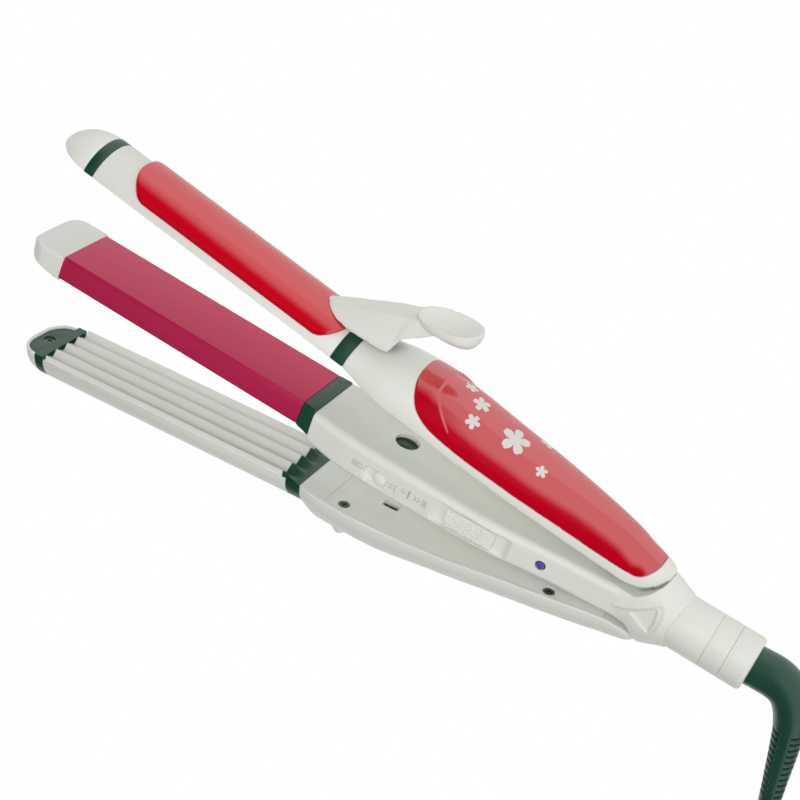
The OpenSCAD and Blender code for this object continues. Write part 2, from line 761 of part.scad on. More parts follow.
// Hank: runs and folds in two layers, narrow at the tie
function hank_radius(u) = u < 2 ? hank_r - hank_step * u : hank_r - hank_step * (4 - u);
function waist(v) = 0.5 + 0.5 * cos(180 * v);
function run_y(r, v) = let (r0 = hank_r - 2 * hank_step)
    r + waist(v) * (waist_y + (r - r0) * waist_step / hank_step - r);
function hank_height(u) = u < 2 ? hank_low : u > 2.25 ? hank_low + hank_rise
    : hank_low + hank_rise * (u - 2) / 0.25;
function hank_point(k) =
    let (u = k / turn_points, q = k % turn_points, r = hank_radius(u), z = hank_height(u))
    q < 6 ? [hank_x + hank_half * (1 - q / 3), hank_y + run_y(r, 1 - q / 3), z]
    : q < 12 ? [hank_x - hank_half + r * cos(30 * q - 90), hank_y + r * sin(30 * q - 90), z]
    : q < 18 ? [hank_x + hank_half * (q / 3 - 5), hank_y - run_y(r, q / 3 - 5), z]
    : [hank_x + hank_half + r * cos(30 * q - 630), hank_y + r * sin(30 * q - 630), z];
hank_line = concat([cord_route[len(cord_route) - 1]],
    [for (k = [0 : hank_turns * turn_points]) hank_point(k)], plug_route);

// Least gap between two turns of the hank, and the length of the cord
hank_gap = min([for (i = [0 : len(hank_line) - 1]) for (j = [i + 4 : 1 : len(hank_line) - 1])
    norm(hank_line[i] - hank_line[j])]) - cord_d;
function path_len(path) = [for (i = [1 : len(path) - 1]) norm(path[i] - path[i - 1])]
    * [for (i = [1 : len(path) - 1]) 1];
echo(least_gap = hank_gap, cord_length = path_len(cord_route) + path_len(hank_line));

module cord() {
    color("DarkSlateGray")
        translate([shift_x, shift_y, 0])
            tube(cord_route, cord_r, 10);
}

module cord_hank() {
    color("DarkSlateGray")
        translate([shift_x, shift_y, 0])
            tube(hank_line, cord_r, 6);
}

tie_half = waist_y + 2 * waist_step + cord_r + 0.5;
tie_top = hank_low + hank_rise + cord_r + 0.3;
module hank_tie() {
    color("Black")
        translate([shift_x, shift_y, 0])
            difference() {
                block(hank_x - 4, hank_x + 4, hank_y - tie_half, hank_y + tie_half, 0, tie_top);
                block(hank_x - 5, hank_x + 5, hank_y - tie_half + 0.5, hank_y + tie_half - 0.5, 0.5,
                    tie_top - 0.5);
            }
}

module plug() {
    color("DarkSlateGray")
        translate([shift_x + plug_x, shift_y + plug_y, plug_z])
            difference() {
                intersection() {
                    slab_z(-plug_t / 2, plug_t / 2)
                        polygon([[0, -5], [0, 5], [-7, 9], [-12, 16], [-16, plug_w / 2],
                            [-plug_len, plug_w / 2], [-plug_len, -plug_w / 2], [-16, -plug_w / 2],
                            [-12, -16], [-7, -9]]);
                    slab_y(-plug_w, plug_w)
                        polygon([[0, -5], [0, 5], [-9, plug_t / 2], [-plug_len, plug_t / 2],
                            [-plug_len, -plug_t / 2], [-9, -plug_t / 2]]);
                }
                for (y = [-9.3, 9.3])
                    rod_x(-plug_len - 1, -plug_len + 6, y, 0, 2);
            }
}

module plug_pins() {
    color("Silver")
        translate([shift_x + plug_x, shift_y + plug_y, plug_z])
            for (y = [-9.3, 9.3])
                rod_x(-plug_len - 19, -plug_len + 6, y, 0, 2);
}

// Curling arm
top_stations = [0, 0.016, 0.049, 0.098, 0.148, 0.21, 0.279, 0.38, 0.5, 0.6, 0.68, 0.745, 0.803, 0.869,
    0.926, 0.959, 1];
function top_ring(x, g) = let (d = g > 0 ? 0.5 : 0) arch(x, top_b(x) - g, top_z(x) - d, top_h(x) - g + d);
solid_x = 11;
top_cover_x0 = 14;
top_cover_x1 = root_x - 17;
insert_t = 1.2;
top_screws = [[28, 7], [28, -7], [root_x - 23.5, 10], [root_x - 23.5, -10]];

module top_outer(g, x0, x1) {
    loft([top_ring(x0, g),
        for (s = top_stations) if (place(s) > x0 + 1 && place(s) < x1 - 1) top_ring(place(s), g),
        top_ring(x1, g)]);
}

module insert_area(g) {
    slab_y(-20, 20)
        polygon([[root_x - 28.8 + g, 40], [root_x - 28.8 + g, 16.1], [root_x - 30 + g, 14.2 - g],
            [root_x - 33.3 + g, 10.7 - g], [root_x - 36.6 + g, 8.4 - g], [root_x - 43, 6.2 - g],
            [root_x - 55, 5.5 - g], [55.6, 5.3 - g], [33.2, 4.8 - g], [18.5, 4.4 - g], [8.2, 4.3 - g],
            [5, 5.3 - g], [3.1 - g, 7.5], [1.9 - g, 9.9], [1.9 - g, 40]]);
}

module top_cover_room(g) {
    xs = [top_cover_x0 - g, 20, 31, 45, 58, 70, 80, 90, 100, top_cover_x1 + g];
    loft([for (x = xs) strip(x, top_b(x) - 2.2 + g, top_z(x) - (g > 0 ? 3 : 0), top_z(x) + cover_t)]);
}

module tongue() {
    pin_y(hinge_x, top_pin_z, knuckle_r, knuckle_y0, knuckle_y1);
    slab_y(knuckle_y0, knuckle_y1)
        polygon([[hinge_x, top_pin_z + knuckle_r], [3, 7.5], [8, 7], [8, 2.4], [3, 2.6],
            [hinge_x + 1.5, top_pin_z - 4]]);
}

module top_shell() {
    color("Gainsboro")
        at_top()
            difference() {
                union() {
                    difference() {
                        top_outer(0, handle_rear, handle_front);
                        top_outer(wall, solid_x, handle_front - 2);
                        top_cover_room(seam);
                        difference() {
                            insert_area(seam);
                            top_outer(insert_t, handle_rear + 3.2, handle_front - 2);
                        }
                    }
                    difference() {
                        intersection() {
                            top_outer(insert_t, handle_rear + 3.2, handle_front - 1);
                            union() {
                                insert_area(1.4);
                                for (p = top_screws)
                                    rod_z(p[0], p[1], top_z(p[0]) + cover_t + seam, 16, 2.8);
                            }
                        }
                        top_outer(insert_t + 1.2, solid_x, handle_front - 3);
                    }
                    intersection() {
                        top_outer(insert_t + 0.5, solid_x - 3, handle_front - 1);
                        for (p = top_screws)
                            rod_z(p[0], p[1], top_z(p[0]) + cover_t + seam, 12, 2.8);
                    }
                    tongue();
                    pin_y(clamp_x, clamp_z, 3, -4.8, 0.8);
                    block(clamp_x - 3, clamp_x + 3, -4.8, 0.8, 10, clamp_z);
                }
                pin_y(hinge_x, top_pin_z, pin_r + pin_play, -9, 9);
                pin_y(clamp_x, clamp_z, pin_r + pin_play, -9, 9);
                for (p = top_screws)
                    rod_z(p[0], p[1], -2, top_z(p[0]) + cover_t + 6, screw_r);
            }
}

module top_insert() {
    color("Crimson")
        at_top()
            intersection() {
                difference() {
                    top_outer(0, handle_rear, handle_front);
                    top_outer(insert_t, handle_rear + 3.2, handle_front - 2);
                }
                insert_area(0);
            }
}

module top_cover() {
    color("Gainsboro")
        at_top()
            difference() {
                union() {
                    top_cover_room(0);
                    rod_z(post_x, 0, -2.8, top_z(post_x) + 1, post_r);
                    rod_z(post_x, 0, -5, -2.7, post_neck_r);
                    rod_z(post_x, 0, -5.8, -4.9, post_r);
                }
                for (p = top_screws) {
                    rod_z(p[0], p[1], -3, 10, screw_r + 0.1);
                    rod_z(p[0], p[1], -3, top_z(p[0]) + sink, screw_head_r + 0.1);
                }
            }
}

module top_cover_screws() {
    color("DimGray")
        at_top()
            for (p = top_screws)
                translate([0, 0, top_z(p[0]) + sink - head_h])
                    mirror([0, 0, 1])
                        screw(p[0], p[1], 0, 5);
}

module top_half(x0, x1, r) {
    intersection() {
        rod_x(x0, x1, 0, barrel_z, r);
        block(x0 - 1, x1 + 1, -20, 20, barrel_base, 20);
    }
}

module top_barrel() {
    color("White")
        at_top()
            difference() {
                top_half(barrel_x0, barrel_x1, barrel_r);
                rod_x(barrel_x0 - 1, barrel_x1 + 1, 0, barrel_z, barrel_r - barrel_wall);
            }
}

top_plate_b = 9.9;
function top_plate_ring(x) = [[x, top_plate_b, top_face(x) + 0.8], [x, top_plate_b, 4.5],
    [x, -top_plate_b, 4.5], [x, -top_plate_b, top_face(x) + 0.8], [x, -top_plate_b + 0.8, top_face(x)],
    [x, top_plate_b - 0.8, top_face(x)]];

module top_plate() {
    color("Silver")
        at_top()
            loft([top_plate_ring(barrel_x0), top_plate_ring(barrel_x1)]);
}

module top_heater() {
    color("Silver")
        at_top()
            block(root_x + 14, tip_x - 12, -7, 7, 4.5, 7.3);
}

module top_front_ring() {
    color("DarkSlateGray")
        at_top()
            top_half(barrel_x1, barrel_x1 + 3.8, barrel_r);
}

module top_rear_ring() {
    color("DarkSlateGray")
        at_top()
            difference() {
                top_half(handle_front, barrel_x0, barrel_r);
                rod_x(handle_front - 1, barrel_x0 + 1, 0, 7.5, 2.5);
            }
}

cap_x0 = barrel_x1 + 3.8;
cap_len = 15.65;
module top_cap() {
    color("White")
        at_top()
            loft([for (t = [0, 15, 30, 45, 57, 66, 71])
                segment(cap_x0 + cap_len * sin(t), barrel_r * cos(t), barrel_z, barrel_base, 1)]);
}

blade_half = blade_r * sin(blade_angle);
module clamp_blade() {
    color("Crimson")
        at_top()
            difference() {
                intersection() {
                    difference() {
                        rod_x(blade_x0, blade_x1, 0, barrel_z, blade_r);
                        rod_x(blade_x0 - 1, blade_x1 + 1, 0, barrel_z, blade_r - blade_t);
                    }
                    slab_z(5, 20)
                        round_box(blade_x0, blade_x1, -blade_half, blade_half, 8);
                }
                for (y = [-4, 4])
                    rod_z(root_x + 2, y, 8, 20, 1.2);
            }
}

// Stations of the lever: place, half width, lower edge, height, squareness
lever_rings = [[10.5, 0.8, 14.3, 0.6, 1], [9, 2.2, 13.8, 1.6, 1], [7, 3.9, 13.4, 3, 0.95],
    [4, 5.8, 13.2, 4.7, 0.9], [-1.4, 7.4, 13.2, 6.9, 0.8], [-6, 8, 14, 8.4, 0.75], [-11, 8.2, 15, 9.8, 0.7],
    [-15, 7.8, 18, 8.6, 0.65], [-18.5, 7, 21.5, 6.8, 0.6], [-21.6, 6.5, 24.8, 5, 0.6],
    [-24.5, 6.4, 27, 4.2, 0.6], [-27, 6.6, 28.6, 3.6, 0.6]];
function bend(c, p) = sign(c) * pow(abs(c), p);
function lever_ring(q) = [for (i = [0 : arch_n]) let (t = 180 * i / arch_n)
    [root_x + q[0], q[1] * bend(cos(t), q[4]), q[2] + q[3] * bend(sin(t), q[4])]];

module clamp_lever() {
    color("White")
        at_top()
            difference() {
                union() {
                    loft([for (i = [len(lever_rings) - 1 : -1 : 0]) lever_ring(lever_rings[i])]);
                    translate([root_x - 29, 0, 31.2])
                        rotate([0, 14, 0])
                            translate([0, 0, -1])
                                scale([1, 0.76, 1])
                                    cylinder(r1 = 8.8, r2 = 10.2, h = 3.4);
                }
                rod_x(root_x - 30, root_x + 20, 0, barrel_z, blade_r);
                pin_y(clamp_x, clamp_z, 4.2, -clamp_half, clamp_half);
                block(clamp_x - 8, clamp_x + 8, -clamp_half, clamp_half, 8, clamp_z);
                pin_y(clamp_x, clamp_z, pin_r, -7.2, 7.2);
                for (y = [-4, 4])
                    rod_z(root_x + 2, y, 8, 15.6, 1.2);
            }
}

module clamp_rivets() {
    color("Silver")
        at_top()
            difference() {
                for (y = [-4, 4])
                    rod_z(root_x + 2, y, 9, 15.6, 1.2);
                rod_x(root_x - 10, root_x + 10, 0, barrel_z, blade_r - blade_t);
            }
}

module clamp_pin() {
    color("Silver")
        at_top()
            pin_y(clamp_x, clamp_z, pin_r, -7.2, 7.2);
}

module clamp_spring() {
    color("Silver")
        at_top()
            coil(clamp_x, clamp_z, 2.6, 0.4, 1.6, clamp_half - 0.7, 2.5);
}

// Crimping arm
low_stations = [0.012, 0.029, 0.06, 0.107, 0.17, 0.25, 0.336, 0.45, 0.582, 0.68, 0.77, 0.86, 0.91, 0.943,
    1];
function low_ring_at(x, g) = let (d = g > 0 ? 0.5 : 0)
    arch(x, low_b(x) - g, low_z(x) + d, -low_h(x) + g - d);
low_cover_x0 = 9;
low_cover_x1 = root_x - 21;
low_screws = [[root_x - 23.5, 10.6], [root_x - 23.5, -10.6], [28, 8], [28, -8]];

module low_outer(g, x0, x1) {
    loft([low_ring_at(x0, g), for (s = low_stations) if (place(s) > x0 + 1 && place(s) < x1 - 1)
        low_ring_at(place(s), g), low_ring_at(x1, g)]);
}

module low_cover_room(g) {
    xs = [low_cover_x0 - g, 16, 24, 32, 45, 58, 70, 82, 92, low_cover_x1 + g];
    loft([for (x = xs) strip(x, low_b(x) - 1.4 + g, low_z(x) - cover_t, low_z(x) + (g > 0 ? 3 : 0))]);
}

module low_shell() {
    color("Gainsboro")
        at_low()
            difference() {
                union() {
                    difference() {
                        low_outer(0, place(0.012), handle_front);
                        difference() {
                            low_outer(wall, solid_x, handle_front - 2);
                            block(low_cover_x1 - 4, root_x, -20, 20, -18.5, 0);
                        }
                        low_cover_room(seam);
                    }
                    intersection() {
                        low_outer(0, place(0.012), handle_front);
                        for (p = low_screws)
                            rod_z(p[0], p[1], -40, low_z(p[0]) - cover_t - seam, 2.8);
                    }
                    mirror_mid()
                        tongue();
                }
                pin_y(hinge_x, low_pin_z, pin_r + pin_play, -9, 9);
                rod_z(foot_x, 0, -40, low_z(foot_x) - low_h(foot_x) + 1, 4);
                for (p = low_screws)
                    rod_z(p[0], p[1], low_z(p[0]) - cover_t - 6, 0, screw_r);
            }
}

module low_cover() {
    color("Gainsboro")
        at_low()
            difference() {
                low_cover_room(0);
                block(hook_x - 0.6, hook_x + 1.7 + lock_travel, -1.7, 1.5, -20, 0);
                for (p = low_screws) {
                    rod_z(p[0], p[1], low_z(p[0]) - 5, 0, screw_r + 0.1);
                    rod_z(p[0], p[1], low_z(p[0]) - sink, 0, screw_head_r + 0.1);
                }
            }
}

module low_cover_screws() {
    color("DimGray")
        at_low()
            for (p = low_screws)
                screw(p[0], p[1], low_z(p[0]) - sink + head_h, 4);
}

low_plate_b = 2 * crimp_pitch;
low_plate_z = -15.8;
module low_crimp_plate() {
    color("White")
        at_low()
            rail_x(low_x0, low_x1)
                polygon(concat([for (y = wave_ys) [y, crest_z + wave(y)]],
                    [[low_plate_b, low_plate_z], [-low_plate_b, low_plate_z]]));
}

module low_half(x0, x1, r) {
    intersection() {
        rod_x(x0, x1, 0, low_axis_z, r);
        block(x0 - 1, x1 + 1, -20, 20, -40, low_axis_z);
    }
}

module low_barrel() {
    color("White")
        at_low()
            difference() {
                low_half(root_x - 1.5, tip_x + 1.5, crimp_shell_r);
                low_half(root_x - 3, tip_x + 3, crimp_shell_r - barrel_wall);
                block(low_x0 - 2, tip_x + 3, -low_plate_b, low_plate_b, low_plate_z, 0);
            }
}

module low_heater() {
    color("Silver")
        at_low()
            block(root_x + 14, tip_x - 12, -7, 7, low_plate_z - 2.6, low_plate_z);
}

module low_comb() {
    color("DarkSlateGray")
        at_low() {
            difference() {
                low_half(handle_front, root_x - 1.5, crimp_shell_r);
                rod_x(handle_front - 1, root_x, 0, -20, 3);
            }
            block(handle_front, root_x - 0.4, -low_plate_b + 0.3, low_plate_b - 0.3, low_plate_z, -13.1);
            block(handle_front, low_x0, -low_plate_b + 0.3, low_plate_b - 0.3, low_plate_z, -14.6);
        }
}

module low_ring() {
    color("DarkSlateGray")
        at_low()
            difference() {
                low_half(tip_x + 1.5, tip_x + 5, crimp_shell_r);
                block(tip_x, tip_x + 6, -11, 11, -16.4, 0);
            }
}

module low_tip_plate() {
    color("DarkSlateGray")
        at_low()
            difference() {
                union() {
                    block(low_x1, tip_x + 5, -10.8, 10.8, -16.4, -15.2);
                    slab_z(-16.4, -15.2)
                        round_box(tip_x, tip_x + 11, -9.6, 9.6, 3);
                }
                block(tip_x - 1, low_x1, -13, 13, -20, 0);
                rod_z(tip_x + 8.4, 0, -20, 0, screw_r + 0.1);
                rod_z(tip_x + 8.4, 0, -15.9, 0, screw_head_r);
            }
}

module low_tip_screw() {
    color("DimGray")
        at_low()
            screw(tip_x + 8.4, 0, -15.9 + head_h, 5);
}

module low_cap() {
    color("White")
        at_low()
            difference() {
                loft([for (q = [[5, 12.6], [7.5, 12.2], [9.8, 11], [11.6, 9], [12.8, 6.4], [13.4, 4]])
                    segment(tip_x + q[0], q[1], low_axis_z, -14.5, -1)]);
                slab_z(-16.4, 0)
                    round_box(tip_x, tip_x + 11, -9.6, 9.6, 3);
                block(tip_x, tip_x + 5.01, -10.8, 10.8, -16.4, 0);
                rod_z(tip_x + 8.4, 0, -22, 0, screw_r);
            }
}

foot_x = root_x - 19.5;
module low_foot() {
    color("White")
        at_low()
            translate([0, 0, low_z(foot_x) - low_h(foot_x) + 1])
                difference() {
                    rod_z(foot_x, 0, -3.4, 0, 4);
                    rod_z(foot_x, 0, -4, -2.6, 2);
                }
}

// Pieces
mid_shell();
mid_cover();
mid_cover_screws();
press_plate();
mid_crimp_plate();
mid_heater();
mid_band();
mid_cap();
circuit_board();
switch_body();
switch_knob();
signal_lamp();
lock_slider();
top_pin();
low_pin();
top_arm_spring();
low_arm_spring();
mains_leads();
collar();
collar_ring();
collar_end();
swivel_tube();
boot();
cord();
cord_hank();
hank_tie();
plug();
plug_pins();
top_shell();
top_insert();
top_cover();
top_cover_screws();
top_barrel();
top_plate();
top_heater();
top_front_ring();
top_rear_ring();
top_cap();
clamp_blade();
clamp_lever();
clamp_rivets();
clamp_pin();
clamp_spring();
low_shell();
low_cover();
low_cover_screws();
low_crimp_plate();
low_barrel();
low_heater();
low_comb();
low_ring();
low_tip_plate();
low_tip_screw();
low_cap();
low_foot();
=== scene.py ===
import bpy
import json
import bmesh
import numpy as np
from math import asin, atan, copysign, cos, degrees, exp, hypot, pi, radians, sin, sqrt
from mathutils import Matrix, Vector


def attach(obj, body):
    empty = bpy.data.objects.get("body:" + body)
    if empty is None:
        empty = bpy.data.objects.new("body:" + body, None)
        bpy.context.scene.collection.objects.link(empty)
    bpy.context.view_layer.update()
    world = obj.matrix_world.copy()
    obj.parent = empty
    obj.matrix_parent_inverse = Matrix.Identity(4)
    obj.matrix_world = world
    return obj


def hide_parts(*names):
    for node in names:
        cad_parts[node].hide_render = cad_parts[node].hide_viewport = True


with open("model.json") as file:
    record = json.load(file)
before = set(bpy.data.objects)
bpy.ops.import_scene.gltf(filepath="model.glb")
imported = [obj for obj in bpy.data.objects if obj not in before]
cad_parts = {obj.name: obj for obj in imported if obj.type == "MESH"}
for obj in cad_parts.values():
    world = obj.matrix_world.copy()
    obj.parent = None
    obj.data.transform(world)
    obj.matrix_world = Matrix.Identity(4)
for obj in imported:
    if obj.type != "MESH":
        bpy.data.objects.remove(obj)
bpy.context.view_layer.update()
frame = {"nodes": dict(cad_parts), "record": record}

# The three arms, in mm: +X to the tips, +Y to the switch side, +Z from crimping to curling arm

joints = {j["name"]: j for j in frame["record"]["behaviour"]["joints"]}
hinge_x = -5.0
top_pin = (hinge_x, 2.0)
low_pin = (hinge_x, -12.8)
mid_z = -5.4
pin_r = 1.5
pin_play = 0.06
knuckle_r = 4.3
knuckle_y = (-4.7, 1.5)
open_top = radians(7.6)
open_low = radians(-7.2)
origin = np.array(joints["curling_arm_hinge"]["pos_m"]) * 1000 - np.array([top_pin[0], -top_pin[1], 0.0])


def turn(points, pin, angle):
    """Points of an outer arm, drawn parallel to the middle arm, at the angle of rest"""
    p = np.array(points, float).reshape(-1, 3)
    x = p[:, 0] - pin[0]
    z = p[:, 2] - pin[1]
    return np.stack([pin[0] + x * cos(angle) - z * sin(angle), p[:, 1],
                     pin[1] + x * sin(angle) + z * cos(angle)], 1)


def mid(points):
    p = np.array(points, float).reshape(-1, 3)
    return (np.stack([p[:, 0], -p[:, 2], p[:, 1]], 1) + origin) / 1000


def top(points):
    return mid(turn(points, top_pin, open_top))


def low(points):
    return mid(turn(points, low_pin, open_low))


def table(points):
    """Points of the cord in mm, before the part is centred"""
    p = np.array(points, float).reshape(-1, 3)
    return (p + [origin[0], origin[1], 0]) / 1000


arms = {"middle_arm": mid, "switch": mid, "lock": mid, "swivel": mid, "curling_arm": top, "clamp": top,
        "crimping_arm": low}


# Curves through a few values

def through(pairs):
    """Smooth function through pairs of place and value, which never overshoots them"""
    xs = np.array([p[0] for p in pairs], float)
    ys = np.array([p[1] for p in pairs], float)
    step = np.diff(xs)
    rise = np.diff(ys) / step
    slope = np.zeros(len(xs))
    slope[0] = rise[0]
    slope[-1] = rise[-1]
    for i in range(1, len(xs) - 1):
        if rise[i - 1] * rise[i] > 0:
            a = 2 * step[i] + step[i - 1]
            b = step[i] + 2 * step[i - 1]
            slope[i] = (a + b) / (a / rise[i - 1] + b / rise[i])

    def value(x):
        x = np.clip(x, xs[0], xs[-1])
        i = np.clip(np.searchsorted(xs, x) - 1, 0, len(xs) - 2)
        t = (x - xs[i]) / step[i]
        return (ys[i] * (1 + 2 * t) * (1 - t) ** 2 + ys[i + 1] * t * t * (3 - 2 * t)
                + step[i] * (slope[i] * t * (1 - t) ** 2 - slope[i + 1] * t * t * (1 - t)))
    return value


def unit(v):
    return v / np.linalg.norm(v)


def spline(points, each=8):
    """Points of a smooth curve through a few points"""
    p = np.array(points, float)
    q = np.concatenate([2 * p[:1] - p[1:2], p, 2 * p[-1:] - p[-2:-1]])
    out = []
    for i in range(len(p) - 1):
        a, b, c, d = q[i:i + 4]
        for k in range(each):
            t = k / each
            out.append(0.5 * (2 * b + (c - a) * t + (2 * a - 5 * b + 4 * c - d) * t * t
                              + (3 * b - a - 3 * c + d) * t ** 3))
    return np.array(out + [p[-1]])


# Solids as points and faces, in arm coordinates

def loft(rings):
    rings = [np.array(r, float) for r in rings]
    n = len(rings[0])
    faces = []
    for k in range(len(rings) - 1):
        a = k * n
        for i in range(n):
            j = (i + 1) % n
            faces.append((a + i, a + j, a + n + j, a + n + i))
    faces.append(tuple(range(n - 1, -1, -1)))
    last = (len(rings) - 1) * n
    faces.append(tuple(last + i for i in range(n)))
    return np.concatenate(rings), faces


def prism(outline, axis, start, end):
    """Outline in the two other axes, solid along x, y or z"""
    k = "xyz".index(axis)
    return loft([[tuple(p[:k]) + (w,) + tuple(p[k:]) for p in outline] for w in (start, end)])


def block(x0, x1, y0, y1, z0, z1):
    return prism([(x0, y0), (x1, y0), (x1, y1), (x0, y1)], "z", z0, z1)


def circle(a, b, r, n=64, start=0.0, end=360.0):
    whole = abs(end - start) >= 360
    angles = [radians(start + (end - start) * i / n) for i in range(n if whole else n + 1)]
    return [(a + r * cos(t), b + r * sin(t)) for t in angles]


def rod(axis, a, b, r, start, end, n=64):
    return prism(circle(a, b, r, n), axis, start, end)


def round_box(x0, x1, y0, y1, r, n=8, r_low=None):
    """Rectangle with round corners, which may have another radius below"""
    s = r_low or r
    out = []
    for x, y, q, a in ((x1 - r, y1 - r, r, 0), (x0 + r, y1 - r, r, 90), (x0 + s, y0 + s, s, 180),
                       (x1 - s, y0 + s, s, 270)):
        out += circle(x, y, q, n, a, a + 90)
    return out


def moved(part, matrix):
    points, faces = part
    m = np.array(matrix)
    return points @ m[:3, :3].T + m[:3, 3], faces


def face_outwards(mesh):
    bm = bmesh.new()
    bm.from_mesh(mesh)
    bmesh.ops.recalc_face_normals(bm, faces=bm.faces)
    bm.to_mesh(mesh)
    bm.free()


def solid(name, parts):
    """One object of several solids, with their faces turned outwards"""
    verts = []
    faces = []
    for points, polys in parts:
        base = len(verts)
        verts += [tuple(p) for p in points]
        faces += [tuple(base + i for i in f) for f in polys]
    mesh = bpy.data.meshes.new(name)
    mesh.from_pydata(verts, [], faces)
    face_outwards(mesh)
    obj = bpy.data.objects.new(name, mesh)
    bpy.context.scene.collection.objects.link(obj)
    return obj


def bake(obj):
    """Makes an object's modifiers part of its mesh"""
    bpy.context.view_layer.update()
    graph = bpy.context.evaluated_depsgraph_get()
    mesh = bpy.data.meshes.new_from_object(obj.evaluated_get(graph))
    obj.modifiers.clear()
    obj.data = mesh
    return obj


def combine(obj, parts, operation):
    tool = solid("tool", parts)
    m = obj.modifiers.new("combine", "BOOLEAN")
    m.operation = operation
    m.solver = "EXACT"
    m.use_self = len(parts) > 1
    m.object = tool
    bake(obj)
    bpy.data.objects.remove(tool)
    return obj


def join(obj, *parts):
    for part in parts:
        combine(obj, [part], "UNION")


def cut_out(obj, *parts):
    for part in parts:
        combine(obj, [part], "DIFFERENCE")


def shape(name, base, add=(), keep=(), cut=(), also=()):
    """Solid from parts: joined, kept inside, cut, and joined again"""
    obj = solid(name, [base])
    join(obj, *add)
    for part in keep:
        combine(obj, [part], "INTERSECT")
    if cut:
        combine(obj, list(cut), "DIFFERENCE")
    join(obj, *also)
    return obj


def formed(base, **how):
    """Shaped solid as a part for another shape"""
    obj = shape("formed", base, **how)
    points = np.array([v.co for v in obj.data.vertices], float).reshape(-1, 3)
    faces = [tuple(f.vertices) for f in obj.data.polygons]
    bpy.data.objects.remove(obj)
    return points, faces


def mould(obj, voxel=0.3, passes=4):
    """Gives a solid the soft edges of a moulding"""
    m = obj.modifiers.new("remesh", "REMESH")
    m.mode = "VOXEL"
    m.voxel_size = voxel
    m.adaptivity = 0
    s = obj.modifiers.new("smooth", "SMOOTH")
    s.iterations = passes
    s.factor = 0.5
    return bake(obj)


def bevelled(obj, width, segments=3, angle=32):
    m = obj.modifiers.new("bevel", "BEVEL")
    m.width = width
    m.segments = segments
    m.limit_method = "ANGLE"
    m.angle_limit = radians(angle)
    return bake(obj)


def dress(obj, body, slot, nodes=(), crease=None, material=None, put=None):
    """Puts a piece drawn in arm coordinates where it belongs, and gives it its surface and its body"""
    mesh = obj.data
    co = np.zeros(len(mesh.vertices) * 3)
    mesh.vertices.foreach_get("co", co)
    mesh.vertices.foreach_set("co", (put or arms[body])(co.reshape(-1, 3)).ravel())
    mesh.update()
    face_outwards(mesh)
    mesh.shade_smooth()
    if crease:
        mesh.set_sharp_from_angle(angle=radians(crease))
    mesh.materials.clear()
    mesh.materials.append(material or looks[slot])
    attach(obj, body)
    if nodes:
        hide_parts(*nodes)
    return obj

# Surfaces

def wire(tree, kind, inputs=(), **settings):
    """Adds a shader node, and sets or links its inputs"""
    node = tree.nodes.new("ShaderNode" + kind)
    for key, value in settings.items():
        setattr(node, key, value)
    for name, value in inputs:
        if isinstance(value, bpy.types.NodeSocket):
            tree.links.new(value, node.inputs[name])
        else:
            node.inputs[name].default_value = value
    return node


def new_material(name):
    mat = bpy.data.materials.new(name)
    mat.use_nodes = True
    mat.node_tree.nodes.clear()
    return mat


def surface(name, color, rough, metal=0.0, coat=0.0, coat_rough=0.1, coat_ior=1.5, grain=900.0, bump=0.05,
            tint=0.03, scratch=0.0, specular=0.5, sheen=0.0, subsurface=0.0):
    """Plastic, enamel or metal: uneven gloss, fine grain, faint mottling and hairline scratches"""
    mat = new_material(name)
    tree = mat.node_tree
    place = wire(tree, "TexCoord").outputs["Object"]
    mottle = wire(tree, "TexNoise", [("Vector", place), ("Scale", 90.0), ("Detail", 3.0),
                                     ("Roughness", 0.6)]).outputs["Fac"]
    height = wire(tree, "TexNoise", [("Vector", place), ("Scale", grain), ("Detail", 2.0),
                                     ("Roughness", 0.5)]).outputs["Fac"]
    dark = tuple(c * (1 - tint) for c in color) + (1.0,)
    light = tuple(min(1.0, c * (1 + tint)) for c in color) + (1.0,)
    colour = wire(tree, "Mix", [(0, mottle), (6, dark), (7, light)], data_type="RGBA").outputs[2]
    gloss = wire(tree, "MapRange", [("Value", mottle), ("From Min", 0.3), ("From Max", 0.7),
                                    ("To Min", rough * 0.94), ("To Max", rough * 1.06)]).outputs["Result"]
    if scratch:
        long = wire(tree, "Mapping", [("Vector", place), ("Scale", (20.0, 2200.0, 2200.0))])
        hairs = wire(tree, "TexNoise", [("Vector", long.outputs["Vector"]), ("Scale", 1.0),
                                        ("Detail", 4.0)]).outputs["Fac"]
        height = wire(tree, "Mix", [(0, scratch), (2, height), (3, hairs)], data_type="FLOAT").outputs[0]
    relief = wire(tree, "Bump", [("Strength", bump), ("Distance", 0.0002),
                                 ("Height", height)]).outputs["Normal"]
    shader = wire(tree, "BsdfPrincipled", [
        ("Base Color", colour), ("Roughness", gloss), ("Normal", relief), ("Metallic", metal),
        ("Coat Weight", coat), ("Coat Roughness", coat_rough), ("Coat IOR", coat_ior),
        ("Specular IOR Level", specular), ("Sheen Weight", sheen), ("Subsurface Weight", subsurface),
        ("Subsurface Radius", (0.002, 0.002, 0.002)), ("Subsurface Scale", 0.5)])
    wire(tree, "OutputMaterial", [("Surface", shader.outputs["BSDF"])])
    return mat


